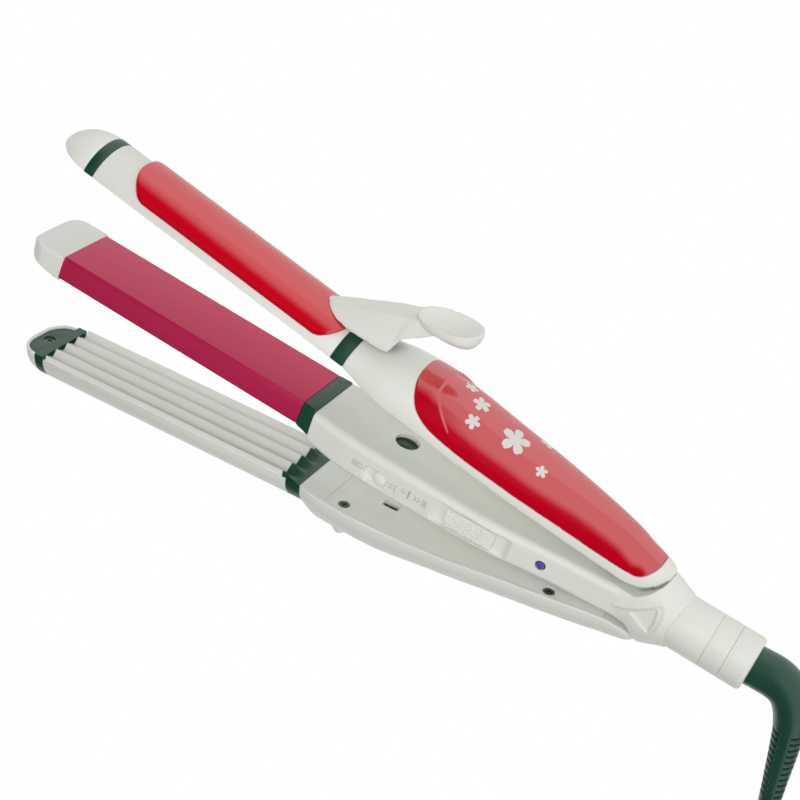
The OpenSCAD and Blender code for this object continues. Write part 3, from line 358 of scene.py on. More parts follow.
looks = {
    "white_shell": surface("white_moulding", (0.81, 0.825, 0.76), 0.34, coat=0.15, coat_rough=0.2,
                           tint=0.012),
    "dark_plastic": surface("dark_green_moulding", (0.007, 0.058, 0.034), 0.40, bump=0.12, grain=1400,
                            tint=0.12, specular=0.9),
    "red_gloss": surface("red_gloss_moulding", (0.62, 0.0015, 0.018), 0.12, coat=1.0, coat_rough=0.07,
                         coat_ior=2.5, bump=0.012, specular=0.0),
    "red_enamel": surface("red_enamel", (0.66, 0.0015, 0.016), 0.17, coat=1.0, coat_rough=0.11, coat_ior=2.25,
                          bump=0.02, specular=0.0),
    "crimson_coating": surface("crimson_coating", (0.60, 0.020, 0.095), 0.34, metal=0.3, coat=0.25,
                               coat_rough=0.25, scratch=0.4),
    "white_coating": surface("white_coating", (0.80, 0.80, 0.745), 0.36, coat=0.2, coat_rough=0.25,
                             tint=0.015),
    "bare_aluminium": surface("aluminium", (0.74, 0.72, 0.72), 0.32, metal=0.85, bump=0.08, scratch=0.7),
    "heater_ceramic": surface("heater_ceramic", (0.75, 0.74, 0.7), 0.6, bump=0.2),
    "steel": surface("steel", (0.17, 0.18, 0.17), 0.34, metal=1.0, bump=0.08, scratch=0.6, tint=0.05),
    "board_green": surface("board_green", (0.03, 0.2, 0.07), 0.4, bump=0.1, tint=0.1),
    "lamp_violet": surface("lamp_violet", (0.13, 0.07, 0.42), 0.15, coat=1.0, bump=0.02, tint=0.05,
                           subsurface=0.3),
    "lead_blue": surface("lead_blue", (0.05, 0.12, 0.35), 0.4, tint=0.05),
    "dark_rubber": surface("dark_green_rubber", (0.011, 0.062, 0.038), 0.33, bump=0.15, grain=1600, tint=0.12,
                           specular=0.8, sheen=0.1),
    "pin_brass": surface("pin_metal", (0.72, 0.70, 0.64), 0.22, metal=1.0, scratch=0.5)}
white_gloss = surface("white_knob", (0.86, 0.87, 0.82), 0.2, coat=0.4, bump=0.03, tint=0.01)
# Lock plate: its own dark grey-green made much lighter as painted light, so that the plate deep in the post
# hole and behind the lock recess looks lit inside
plate_green_painted_light = surface("plate_green_moulding_painted_light", (0.17, 0.24, 0.19), 0.4, bump=0.08, tint=0.06)
print_white = surface("printed_white", (0.76, 0.73, 0.70), 0.3, coat=0.3, bump=0.02, tint=0.01)
print_grey = surface("printed_grey", (0.50, 0.54, 0.49), 0.4)

for part in frame["record"]["subparts"]:
    for seat in frame["nodes"][part["node"]].material_slots:
        seat.material = looks[part["material_slot"]]

# Camera at the photograph's place

camera_data = bpy.data.cameras.new("camera")
camera_data.lens = 74.25
camera_data.sensor_width = 36.0
camera = bpy.data.objects.new("camera", camera_data)
bpy.context.scene.collection.objects.link(camera)
bpy.context.scene.camera = camera
right = Vector((-0.83082, -0.29263, -0.47340))
down = Vector((-0.49585, 0.77547, 0.39086))
forward = Vector((0.25273, 0.55947, -0.78938))
eye = mid([(-35.3, 420.7, 310.3)])[0]
camera.matrix_world = Matrix.Translation(eye) @ Matrix((right, -down, -forward)).transposed().to_4x4()

# Mains cord: out of the boot, down to the table, into a flat hank behind the part, and back to the plug

cord_r = 3.0
cord_route = [(-63.6, 49, 15.6), (-64.8, 55.2, 15.6), (-65.9, 60.8, 15.3), (-67.3, 67, 14.4),
              (-70.3, 73.1, 12.6), (-75.2, 78.3, 10.2), (-81.6, 81.9, 7.6), (-88.9, 83.4, 5.4),
              (-96.6, 83.3, 4.1), (-104.5, 83.1, 3.6), (-110, 83.1, 3.6)]
hank = (-176.0, 50.6)
hank_half = 60.0
hank_r = 32.5
hank_turns = 4
per_turn = 24
hank_step = 7.0
hank_low = 3.6
hank_rise = 6.8
waist_y = 6.0
waist_step = 7.3
plug_route = [(-122, 82.6, 10.7), (-128, 81.8, 11.9), (-134, 80.6, 13.6), (-140, 79, 15.4),
              (-146, 76.8, 16.7), (-152, 74, 17.1), (-158, 70.7, 17.2), (-164, 67.2, 17.4),
              (-170, 63.6, 17.9), (-176, 60.4, 18.8), (-182, 58, 19.7), (-188, 56.8, 20.2),
              (-193, 56.6, 20.3)]


def hank_run(r, v):
    narrow = 0.5 + 0.5 * cos(pi * v)
    inner = hank_r - 2 * hank_step
    return r + narrow * (waist_y + (r - inner) * waist_step / hank_step - r)


def hank_point(k):
    """Place k on the hank: each turn is a straight, a half circle, a straight and a half circle"""
    u = k / per_turn
    q = k % per_turn
    r = hank_r - hank_step * (u if u < 2 else hank_turns - u)
    z = hank_low + hank_rise * min(1.0, max(0.0, (u - 2) / 0.25))
    turned = radians(30 * q - 90)
    if q < 6:
        return hank[0] + hank_half * (1 - q / 3), hank[1] + hank_run(r, 1 - q / 3), z
    if q < 12:
        return hank[0] - hank_half + r * cos(turned), hank[1] + r * sin(turned), z
    if q < 18:
        return hank[0] + hank_half * (q / 3 - 5), hank[1] - hank_run(r, q / 3 - 5), z
    turned = radians(30 * q - 630)
    return hank[0] + hank_half + r * cos(turned), hank[1] + r * sin(turned), z


cord_line = cord_route + [hank_point(k) for k in range(hank_turns * per_turn + 1)] + plug_route
cord_curve = bpy.data.curves.new("mains_cord", "CURVE")
cord_curve.dimensions = "3D"
cord_spline = cord_curve.splines.new("POLY")
cord_points = table(spline(cord_line, 4))
cord_spline.points.add(len(cord_points) - 1)
for i, p in enumerate(cord_points):
    cord_spline.points[i].co = (p[0], p[1], p[2], 1)
cord_spline.use_smooth = True
cord_curve.bevel_depth = cord_r / 1000
cord_curve.bevel_resolution = 6
cord_curve.use_fill_caps = True
cord_curve.materials.append(looks["dark_rubber"])
cord = bpy.data.objects.new("mains_cord", cord_curve)
bpy.context.scene.collection.objects.link(cord)
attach(cord, "swivel")
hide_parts("cord", "cord_hank")

# Boot of the cord, with two rows of slots on each side

boot_line = [(-33.8, 5.4), (-38, 5.3), (-41.5, 5.1), (-44.5, 5), (-47.6, 5.5), (-50.4, 6.9), (-52.7, 9.3),
             (-54.5, 12.4), (-55.9, 16.2), (-57, 20), (-58.4, 26), (-59.8, 32), (-61.1, 38), (-62.5, 44),
             (-63.6, 49)]
boot_size = [6.7, 6.7, 6.75, 6.75, 6.7, 6.5, 6.25, 5.95, 5.5, 5.1, 4.7, 4.35, 4, 3.7, 3.45]


def tube(path, sizes, n=48):
    path = np.array(path, float)
    rings = []
    for i, p in enumerate(path):
        t = unit(path[min(i + 1, len(path) - 1)] - path[max(i - 1, 0)])
        s = unit(np.cross([0, 0, 1], t))
        u = np.cross(t, s)
        a = np.arange(n) * 2 * np.pi / n
        rings.append(p + sizes[i] * (np.cos(a)[:, None] * s + np.sin(a)[:, None] * u))
    return loft(rings)


boot_path = spline([(x, y, 0) for x, y in boot_line], 6)
boot_sizes = spline([(s, 0, 0) for s in boot_size], 6)[:, 0]
slots = []
for k in range(11):
    for side in (-1, 1):
        for face in (-1, 1):
            at = (Matrix.Translation((-56.9 - 0.56 * k, 19.4 + 2.45 * k, 0))
                  @ Matrix.Rotation(radians(13), 4, "Z")
                  @ Matrix.Translation((side * (4.9 - 0.05 * k), 0, face * (4.4 - 0.05 * k))))
            slots.append(moved(block(-3.3, 3.3, -0.5, 0.5, -3.7, 3.7), at))
boot = shape("cord_boot", tube(boot_path, boot_sizes), cut=slots, also=[tube(boot_path, boot_sizes - 1.25)])
mould(boot, 0.22, 3)
dress(boot, "swivel", "dark_rubber", ["boot"], put=lambda p: table(p) + [0, 0, origin[2] / 1000])

# Plug with two round pins

plug_at = (-193.0, 56.6, 20.3)


def plug_ring(x, w, h, power=2.6, n=64):
    a = np.arange(n) * 2 * np.pi / n
    c = np.sign(np.cos(a)) * np.abs(np.cos(a)) ** (2 / power)
    s = np.sign(np.sin(a)) * np.abs(np.sin(a)) ** (2 / power)
    return np.stack([np.full(n, x), w * c, h * s], 1)


plug_wide = through([(0, 4.4), (4, 5.0), (8, 8.8), (12, 14.4), (16, 17.2), (22, 17.6), (33, 17.6),
                     (34, 17.0)])
plug_high = through([(0, 4.4), (4, 5.1), (9, 6.5), (16, 6.8), (33, 6.8), (34, 6.2)])
plug = shape("plug_body", loft([plug_ring(-d, plug_wide(d), plug_high(d), 2.2 + 0.9 * min(1, d / 14))
                                for d in np.linspace(0, 34, 69)]),
             cut=[block(-5.6 - 2.2 * k, -4.8 - 2.2 * k, -20, 20, face * 7 - 2.3 + 0.2 * k,
                        face * 7 + 2.3 - 0.2 * k) for k in range(4) for face in (-1, 1)])
mould(plug, 0.35, 3)
dress(plug, "swivel", "dark_rubber", ["plug"], put=lambda p: table(p + plug_at))
pin_sizes = ((30, 2.0), (51, 2.0), (52.2, 1.85), (52.8, 1.4), (53.0, 0.7))
plug_pins = solid("plug_round_pins", [
    loft([[(-x, y, z) for y, z in circle(side * 9.3, 0, r, 32)] for x, r in pin_sizes]) for side in (-1, 1)])
dress(plug_pins, "swivel", "pin_brass", ["plug_pins"], 40, put=lambda p: table(p + plug_at))

# Tie round the middle of the hank

tie_half = waist_y + 2 * waist_step + cord_r + 0.5
tie_top = hank_low + hank_rise + cord_r + 0.3
tie_rings = []
for x, grow in ((-4, -0.35), (-3.4, 0), (3.4, 0), (4, -0.35)):
    outline = round_box(-tie_half - grow, tie_half + grow, -grow if grow < 0 else 0, tie_top + grow, 2.2)
    tie_rings.append([(hank[0] + x, hank[1] + y, z) for y, z in outline])
inner = [[(hank[0] + x, hank[1] + y, z)
          for y, z in round_box(-tie_half + 0.5, tie_half - 0.5, 0.5, tie_top - 0.5, 1.8)] for x in (-5, 5)]
tie = shape("hank_tie_strap", loft(tie_rings), cut=[loft(inner)])
dress(tie, "swivel", "dark_rubber", ["hank_tie"], 35, put=table)

# Handles: share of the length, then the value there

root_x = 126.0
tip_x = 226.0
belly = 15.6
handle_front = 119.0
handle_rear = -3.0
handle_len = handle_front - handle_rear
band_x0 = root_x - 5.1
mid_top = -0.4
mid_t = 12.9
wall = 2.0
mid_plan = through([(0.06, 0.58), (0.15, 0.665), (0.25, 0.74), (0.31, 0.81), (0.42, 0.93), (0.48, 0.97),
                    (0.6, 0.99), (0.7, 1), (0.8, 1), (0.885, 0.98), (0.96, 0.915), (1.02, 0.86)])
mid_deep = through([(0.06, 0.85), (0.25, 0.85), (0.42, 0.89), (0.6, 0.95), (0.7, 0.98), (0.8, 1),
                    (0.885, 1), (0.96, 0.97), (1.02, 0.89)])
top_plan = through([(0, 0.16), (0.016, 0.35), (0.049, 0.5), (0.098, 0.577), (0.148, 0.635), (0.279, 0.763),
                    (0.5, 0.949), (0.68, 0.994), (0.803, 1), (0.869, 0.974), (0.926, 0.897), (0.959, 0.833),
                    (1, 0.763)])
top_base = through([(0, 7.5), (0.016, 5.2), (0.049, 2.2), (0.098, 0.8), (0.148, 1), (0.279, 1.5), (0.5, 2.4),
                    (0.8, 2.8), (0.926, 3), (0.959, 3.3), (1, 3.6)])
top_rise = through([(0, 2.2), (0.016, 5.4), (0.049, 9.3), (0.098, 12), (0.148, 13.2), (0.279, 14.1),
                    (0.5, 14.6), (0.68, 15.6), (0.745, 15.3), (0.803, 14.3), (0.869, 12.9), (0.926, 10.9),
                    (0.959, 9.6), (1, 8.6)])
low_plan = through([(0.012, 0.32), (0.029, 0.5), (0.107, 0.596), (0.336, 0.814), (0.582, 0.968), (0.77, 1),
                    (0.943, 0.917), (1, 0.81)])
low_rim = through([(0.012, -16), (0.029, -13.8), (0.107, -12), (0.336, -12.6), (0.582, -14.4), (0.77, -15),
                   (0.943, -14.8), (1, -14.3)])
low_deep = through([(0.012, 3), (0.029, 6.4), (0.107, 9.9), (0.336, 12.1), (0.582, 13), (0.77, 14.9),
                    (0.943, 14.6), (1, 11.7)])


def share(x):
    return (x - handle_rear) / handle_len


def place(s):
    return handle_rear + s * handle_len


def mid_b(x):
    return belly * mid_plan(share(x))


def mid_low(x):
    return mid_top - mid_t * mid_deep(share(x))


def arch(x, b, z0, h, n=64):
    """Half round section; a negative height arches it the other way"""
    return [(x, b * cos(pi * i / n), z0 + h * sin(pi * i / n)) for i in range(n + 1)]


def steps(x0, x1, step=1.0):
    return np.linspace(x0, x1, max(2, int(round((x1 - x0) / step)) + 1))


def swept(ring, x0, x1, g=0.0, step=1.0):
    """Solid through sections, g smaller all round"""
    return loft([ring(x, g) if g else ring(x) for x in steps(x0, x1, step)])


# Middle handle with its neck

def mid_ring(x, g=0.0):
    b = mid_b(x) - g
    outline = round_box(-b, b, mid_low(x) + g, mid_top - g, max(2.6 - g, 0.6), 10, max(1.8 - g, 0.6))
    return [(x, y, z) for y, z in outline]


neck = [(-14, 9.25, mid_z, 9.25), (-12.6, 9.3, mid_z, 9.6), (-9, 9.6, mid_z, 11.2), (-6.5, 9.8, mid_z, 12.6),
        (-4, 10, mid_z, 13.8), (0, 10, mid_z, 14.8), (4, 9.6, mid_z, 13.6), (9, 9.6, mid_z, 10),
        (15, 9.6, mid_z - 0.4, 5.6), (20, 9.4, mid_z - 0.4, 4.8)]
neck_values = [through([(p[0], p[k]) for p in neck]) for k in (1, 2, 3)]


def neck_ring(x, g=0.0):
    b, z, h = (f(x) for f in neck_values)
    a = np.arange(72) * 2 * np.pi / 72
    return np.stack([np.full(72, x), (b - g) * np.cos(a), z + (h - g) * np.sin(a)], 1)


hub_x = 14.5
hub_rise = 22.4
hub_r = 20.5


def hub_room(up):
    """Room for the rounded rear end of an arm"""
    side = block(-20, 40, -21, 21, mid_top, 60) if up > 0 else block(-20, 40, -21, 21, -60, mid_low(0))
    return formed(rod("y", hub_x, mid_z + hub_rise * up, hub_r, -20, 20, 128), keep=[side])


def flip(part):
    points, faces = part
    return points * [1, 1, -1] + [0, 0, 2 * mid_z], [tuple(reversed(f)) for f in faces]


knuckle = prism([(-5, -2.8), (-3.4, -2.8), (0, -0.4), (4, -0.2), (4, 9), (-3.2, 7.4), (-5, 6.8)], "y", -5, 5)
knuckle_bore = rod("y", *top_pin, knuckle_r + 0.5, -5, 5)

switch_x = root_x - 68.5
switch_z = -7.0
scoop_half = 13.3
slope = (mid_b(switch_x + scoop_half) - mid_b(switch_x - scoop_half)) / (2 * scoop_half)
switch_y = mid_b(switch_x - scoop_half) - 1.3 + scoop_half * slope
at_switch = Matrix.Translation((switch_x, switch_y, switch_z)) @ Matrix.Rotation(atan(slope), 4, "Z")
lock_x = root_x - 34.4
lock_z = -8.3
lamp_x = root_x - 92.8
lamp_z = -6.4
post_x = root_x - 34.1

cover_t = 1.6


def cover_room(wide, face, start, end, up, g=0.0):
    """Space of a handle's cover, or g more all round for the opening that it lies in"""
    rings = []
    for x in [start - g] + list(np.linspace(start, end, 40)) + [end + g]:
        b = wide(x) + g
        z0 = face(x) - up * (3 if g > 0 else 0)
        z1 = face(x) + up * cover_t
        rings.append([(x, b, z0), (x, b, z1), (x, -b, z1), (x, -b, z0)])
    return loft(rings)


# Covers: half width, outer face, both ends, and the side of the face that they lie on
mid_lid = (lambda x: mid_b(x) - 3.2, mid_low, 24, root_x - 14, 1)
top_lid = (lambda x: belly * top_plan(share(x)) - 2.2, lambda x: top_base(share(x)), 14, root_x - 17, 1)
low_lid = (lambda x: belly * low_plan(share(x)) - 1.4, lambda x: low_rim(share(x)), 9, root_x - 17.5, -1)
lid_gap = 0.15
hook_x = root_x - 38.2
lamp_face = mid_b(lamp_x)


def neck_side(x, z):
    b, zc, h = (f(x) for f in neck_values)
    return float(b * sqrt(max(0.05, 1 - ((z - zc) / h) ** 2)))


def emboss(obj):
    """Curved rib and sunk triangle on both sides of the neck"""
    path = spline([(8.4, -6.6), (6.1, -5.6), (3.5, -4.3), (-0.3, -1.6), (-4, 1.3), (-5.8, 1.9), (-6.9, 0.9),
                   (-7.6, -1.1), (-8, -3.8), (-7.6, -7.2), (-6, -10.4)], 5)
    triangle = [(2.4, -5.4), (-4.4, 0.3), (-5.2, -0.2), (-5.9, -4.4), (-5.4, -9.2)]
    for side in (1, -1):
        rings = []
        for k, (x, z) in enumerate(path):
            y = neck_side(x, z)
            fade = min(1.0, k / 6, (len(path) - 1 - k) / 6)
            ahead = unit(path[min(k + 1, len(path) - 1)] - path[max(k - 1, 0)])
            across = np.array([-ahead[1], ahead[0]])
            rings.append([(x + across[0] * c * 0.75, side * (y - 0.1 + s * (0.15 + 0.45 * fade)),
                           z + across[1] * c * 0.75) for c, s in circle(0, 0, 1, 12)])
        join(obj, loft(rings))
        cut_out(obj, loft([[(x, side * (neck_side(x, z) + d), z) for x, z in triangle]
                           for d in (-0.55, 1.5)]))


# The switch recess is a long scoop with round ends
scoop = [(x, 0.0) for x in steps(-11.6, 12.9, 1)]
scoop += [(14.4, 1.2), (15.6, 3.2), (16.2, 6), (-16, 6), (-15.2, 3.2), (-13.6, 1.2)]
switch_room = moved(loft([[(x, y, z) for x, y in scoop] for z in (-4.0, 4.0)]), at_switch)
lock_room = prism(round_box(lock_x - 2.6, lock_x + 6.2, lock_z - 2.6, lock_z + 2.6, 2.5), "y", 14.4, 20)
saddle_x = -34.9
saddle_r = 24.4
mid_solid = swept(mid_ring, place(0.06), band_x0)
mid_shell = shape("mid_handle", mid_solid, add=[swept(neck_ring, -14, 20, step=0.7)],
                  cut=[swept(mid_ring, 18, band_x0 - wall, wall, 2)])
cut_out(mid_shell, rod("y", saddle_x, mid_z, saddle_r, -20, 20, 256), hub_room(1), hub_room(-1))
# The knuckles' room stays inside the neck's wall behind the hinge
for part in (knuckle, knuckle_bore, flip(knuckle), flip(knuckle_bore)):
    cut_out(mid_shell, formed(part, keep=[block(-1.5, 20, -6, 6, -40, 30)]),
            formed(part, keep=[swept(neck_ring, -12, -1.3, 0.7, 0.7)]))
for part in (moved(block(-15, 15, -1.6, 1, -5.2, 5.2), at_switch),
             block(lock_x - 5, lock_x + 9, 12.6, 15.2, lock_z - 4.2, lock_z + 4.2)):
    join(mid_shell, formed(part, keep=[mid_solid]))
cut_out(mid_shell, switch_room, lock_room, rod("y", lamp_x, lamp_z, 1.75, 9, 20, 48),
        rod("z", post_x, 0, 4.1, -3.6, 2), rod("y", *top_pin, pin_r, -20, 6.8, 32),
        rod("y", *low_pin, pin_r, -20, 6.8, 32))
emboss(mid_shell)
mould(mid_shell)
cut_out(mid_shell, cover_room(*mid_lid, lid_gap))
dress(mid_shell, "middle_arm", "white_shell", ["mid_shell"], 50)

# Curling arm's handle and its red insert

def top_ring(x, g=0.0):
    s = share(x)
    down_by = 0.5 if g > 0 else 0.0
    return arch(x, belly * top_plan(s) - g, top_base(s) - down_by, top_rise(s) - g + down_by)


insert_edge = [(97.2, 16.1), (96, 14.2), (92.7, 10.7), (89.4, 8.4), (83, 6.4), (71, 5.5),
               (55.6, 5.3), (33.2, 4.8), (18.5, 4.4), (8.2, 4.4), (5, 5.3), (3.1, 7.5), (1.9, 9.9)]


def insert_area(g):
    """Outline of the insert, g smaller all round"""
    line = spline(insert_edge, 6)
    way = np.gradient(line, axis=0)
    way /= np.linalg.norm(way, axis=1)[:, None]
    line = line + g * np.stack([way[:, 1], -way[:, 0]], 1)
    return [(line[0][0], 40)] + [tuple(p) for p in line] + [(line[-1][0], 40)]


hinge_eye = rod("y", *top_pin, knuckle_r, *knuckle_y)
hinge_web = prism([(-5, 6.3), (3, 7.5), (8, 7), (8, 2.4), (3, 2.6), (-3.5, -2)], "y", *knuckle_y)
pin_hole = rod("y", *top_pin, pin_r + pin_play, -9, 9, 32)
top_shell = shape("curling_handle", swept(top_ring, handle_rear, handle_front),
                  cut=[swept(top_ring, 11, handle_front - wall, wall)])
cut_out(top_shell, formed(prism(insert_area(-0.12), "y", -25, 25),
                          cut=[swept(top_ring, handle_rear + 3, handle_front, 1.3)]))
join(top_shell, hinge_eye, hinge_web)
cut_out(top_shell, pin_hole)
mould(top_shell)
cut_out(top_shell, cover_room(*top_lid, lid_gap))
dress(top_shell, "curling_arm", "white_shell", ["top_shell"], 50)

insert = shape("red_insert", swept(top_ring, handle_rear, handle_front),
               keep=[prism(insert_area(0.04), "y", -25, 25)],
               cut=[swept(top_ring, handle_rear + 3.2, handle_front, 1.2)])
mould(insert, 0.22, 4)

# Thumb recess: the insert behind its front crescent lies lower, and rises again towards the rear
recess_edge = through([(9.5, 78.6), (10.1, 79.5), (11, 81.1), (12.9, 84.2), (14.6, 86.8), (16.2, 88.7),
                       (17.6, 89.2)])


def smooth(a, b, v):
    s = np.clip((np.asarray(v, float) - a) / (b - a), 0, 1)
    return s * s * (3 - 2 * s)


def recess_depth(x, z):
    return 0.8 * smooth(-0.15, 0.45, recess_edge(z) - x) * smooth(8, 14, z) * smooth(30, 78, x)


def insert_height(x, y):
    """Outer surface of the insert over a point in plan"""
    s = share(x)
    b = belly * float(top_plan(s))
    return float(top_base(s)) + float(top_rise(s)) * sqrt(max(0.0, 1 - (y / b) ** 2))


co = np.zeros(len(insert.data.vertices) * 3)
no = np.zeros(len(co))
insert.data.vertices.foreach_get("co", co)
insert.data.vertex_normals.foreach_get("vector", no)
co = co.reshape(-1, 3)
no = no.reshape(-1, 3)
at = share(co[:, 0])
outer = ((co[:, 1] / (belly * top_plan(at))) ** 2
         + ((co[:, 2] - top_base(at)) / top_rise(at)) ** 2) > 0.93
co -= no * (recess_depth(co[:, 0], co[:, 2]) * outer)[:, None]
insert.data.vertices.foreach_set("co", co.ravel())
dress(insert, "curling_arm", "red_gloss", ["top_insert"])

# Flowers printed on the insert

def flower(x, y, size, turned_by):
    """Five notched petals, laid on the insert as a thin layer"""
    outline = []
    for i in range(60):
        a = 2 * pi * i / 60
        w = (5 * a / (2 * pi)) % 1
        lobe = sin(pi * w) ** 0.75
        notch = exp(-((w - 0.5) / 0.08) ** 2)
        r = size * (0.33 + 0.64 * lobe - 0.07 * notch)
        outline.append((r * cos(a + turned_by), r * sin(a + turned_by)))
    z = insert_height(x, y)
    back = unit(np.array([1.0, 0.0, insert_height(x + 0.5, y) - insert_height(x - 0.5, y)]))
    side = unit(np.array([0.0, 1.0, insert_height(x, y + 0.5) - insert_height(x, y - 0.5)]))
    up = np.cross(back, side)
    rings = []
    for reach, lift in [(1.0, -0.25)] + [(q, 0.035) for q in (1.0, 0.85, 0.6, 0.35, 0.1)]:
        ring = []
        for u, v in outline:
            p = np.array([x, y, z]) + reach * (u * back + v * side)
            top_z = insert_height(p[0], p[1])
            low_by = float(recess_depth(p[0], top_z))
            ring.append(np.array([p[0], p[1], top_z]) + up * (lift - low_by))
        rings.append(ring)
    return loft(rings)


flowers = solid("printed_flowers", [
    flower(82.2, -3, 2.6, 0.3), flower(75.9, 1.4, 3.3, 0.9), flower(74.4, 8.6, 2.7, 0.1),
    flower(60.5, 4.2, 5.2, 0.5), flower(52.6, -6.1, 3.3, 0.2), flower(48.2, 7.1, 2.2, 0.7)])
dress(flowers, "curling_arm", "white_coating", (), 40, print_white)

# Crimping arm's handle

def low_ring(x, g=0.0):
    s = share(x)
    up_by = 0.5 if g > 0 else 0.0
    return arch(x, belly * low_plan(s) - g, low_rim(s) + up_by, -low_deep(s) + g - up_by)


low_shell = shape("crimping_handle", swept(low_ring, place(0.012), handle_front),
                  cut=[swept(low_ring, 11, handle_front - 16, wall, 2)])
join(low_shell, flip(hinge_eye), flip(hinge_web))
cut_out(low_shell, flip(pin_hole))
mould(low_shell)
cut_out(low_shell, cover_room(*low_lid, lid_gap))
dress(low_shell, "crimping_arm", "white_shell", ["low_shell"], 50)

# Collar: saddle piece, ring and end, with fine seams between them

def turned(name, outline, body, nodes, slot="white_shell", at=(0.0, mid_z), axis="x", n=96, material=None):
    """Ring or knob turned about an axis: places along it and radii, closed over the bore"""
    points = []
    for i in range(n):
        a = 2 * pi * i / n
        for s, r in outline:
            u = at[0] + r * cos(a)
            v = at[1] + r * sin(a)
            points.append((s, u, v) if axis == "x" else (u, s, v))
    m = len(outline)
    faces = [(k * m + i, k * m + (i + 1) % m, (k + 1) % n * m + (i + 1) % m, (k + 1) % n * m + i)
             for k in range(n) for i in range(m)]
    return dress(solid(name, [(points, faces)]), body, slot, nodes, 35, material)


def dome(s, r, rise, angles):
    return [(s + rise * sin(radians(a)), max(0.02, r * cos(radians(a)))) for a in angles]


def soft_corner(s, r, ds, dr, n=5):
    """Quarter round from (s, r - dr) to (s + ds, r)"""
    return [(s + ds * (1 - cos(pi / 2 * k / n)), r - dr + dr * sin(pi / 2 * k / n)) for k in range(n + 1)]


collar_r = 9.2
collar_x = -23.1
ring_x = -29.8
end_x = -37.7
collar = shape("collar_saddle", rod("x", 0, mid_z, collar_r, collar_x + 0.1, -6, 128),
               keep=[rod("y", saddle_x, mid_z, saddle_r - 0.03, -20, 20, 256)],
               cut=[rod("x", 0, mid_z, 7, collar_x - 1, collar_x + 2.2), rod("x", 0, mid_z, 4.2, -40, 0)],
               also=[block(-13, -9, s * 7 - 0.9, s * 7 + 0.9, mid_z - 2.8, mid_z + 2.8) for s in (-1, 1)])
bevelled(collar, 0.06, 2, 50)
dress(collar, "middle_arm", "white_shell", ["collar"], 30)
turned("collar_middle_ring", [(ring_x + 0.03, 5.05)] + soft_corner(ring_x + 0.03, collar_r, 0.12, 0.12)
       + soft_corner(collar_x + 0.05, collar_r, -0.12, 0.12)[::-1] + [(collar_x + 0.05, 5.05)],
       "middle_arm", ["collar_ring"])
turned("collar_swivel_end", [(end_x + 4.2, 5), (end_x + 4.2, 7.05), (end_x + 0.15, 7.05), (end_x, 7.25)]
       + soft_corner(end_x, collar_r, 1.5, 1.5, 8)
       + soft_corner(ring_x - 0.04, collar_r, -0.12, 0.12)[::-1] + [(ring_x - 0.04, 5)],
       "swivel", ["collar_end"])

# Covers of the three handles with their screw holes

def cover_piece(name, body, node, lid, screws, hole=(), posts=()):
    """Cover with countersunk screw holes in pairs"""
    face = lid[1]
    up = lid[4]
    cover = shape(name, cover_room(*lid))
    cut_out(cover, *hole)
    for x, half in screws:
        z = face(x)
        sink = (z - 3, z + 1.1) if up > 0 else (z - 1.1, z + 3)
        for y in (half, -half):
            cut_out(cover, rod("z", x, y, 2.05, *sink), rod("z", x, y, 1.2, z - 4, z + 4, 32))
    join(cover, *posts)
    bevelled(cover, 0.12, 2, 40)
    dress(cover, body, "white_shell", [node], 30)


cover_piece("middle_cover", "middle_arm", "mid_cover", mid_lid, [(28, 6.2), (root_x - 20, 9)],
            hole=[block(hook_x - 0.3, hook_x + 6.2, -1.5, 1.3, -20, -5)])
cover_piece("curling_cover", "curling_arm", "top_cover", top_lid, [(28, 7), (root_x - 23.5, 10)],
            posts=[rod("z", post_x, 0, r, z0, z1) for r, z0, z1 in ((3.3, -2.8, 3.5), (2.1, -5, -2.7),
                                                                    (3.3, -5.8, -4.9))])
cover_piece("crimping_cover", "crimping_arm", "low_cover", low_lid, [(root_x - 23.5, 10.6), (28, 8)],
            hole=[block(hook_x - 0.6, hook_x + 5.3, -1.7, 1.5, -20, 0)])

# Switch knob with its dotted grip, lock knob, lamp

knob_parts = [loft([[(x, y, z) for x, z in round_box(-7.9 + g, 9.9 - g, -3.2 + g, 3.2 - g, 0.7, 6)]
                    for y, g in ((0.1, 0), (1.15, 0), (1.3, 0.06), (1.38, 0.2))]),
              block(-1.6, 1.6, -3.4, 0.2, -1.4, 1.4), block(-0.9, 0.9, -7.4, -3.3, -0.7, 0.7)]
for i in range(20):
    for j in range(7):
        x = -7.15 + 0.86 * i
        z = -2.64 + 0.88 * j
        knob_parts.append(loft([[(x - w, y, z - w), (x + w, y, z - w), (x + w, y, z + w), (x - w, y, z + w)]
                                for w, y in ((0.31, 1.3), (0.27, 1.6), (0.14, 1.75))]))
knob = solid("switch_grip", [moved(p, at_switch) for p in knob_parts])
dress(knob, "switch", "white_shell", ["switch_knob"], 30, white_gloss)

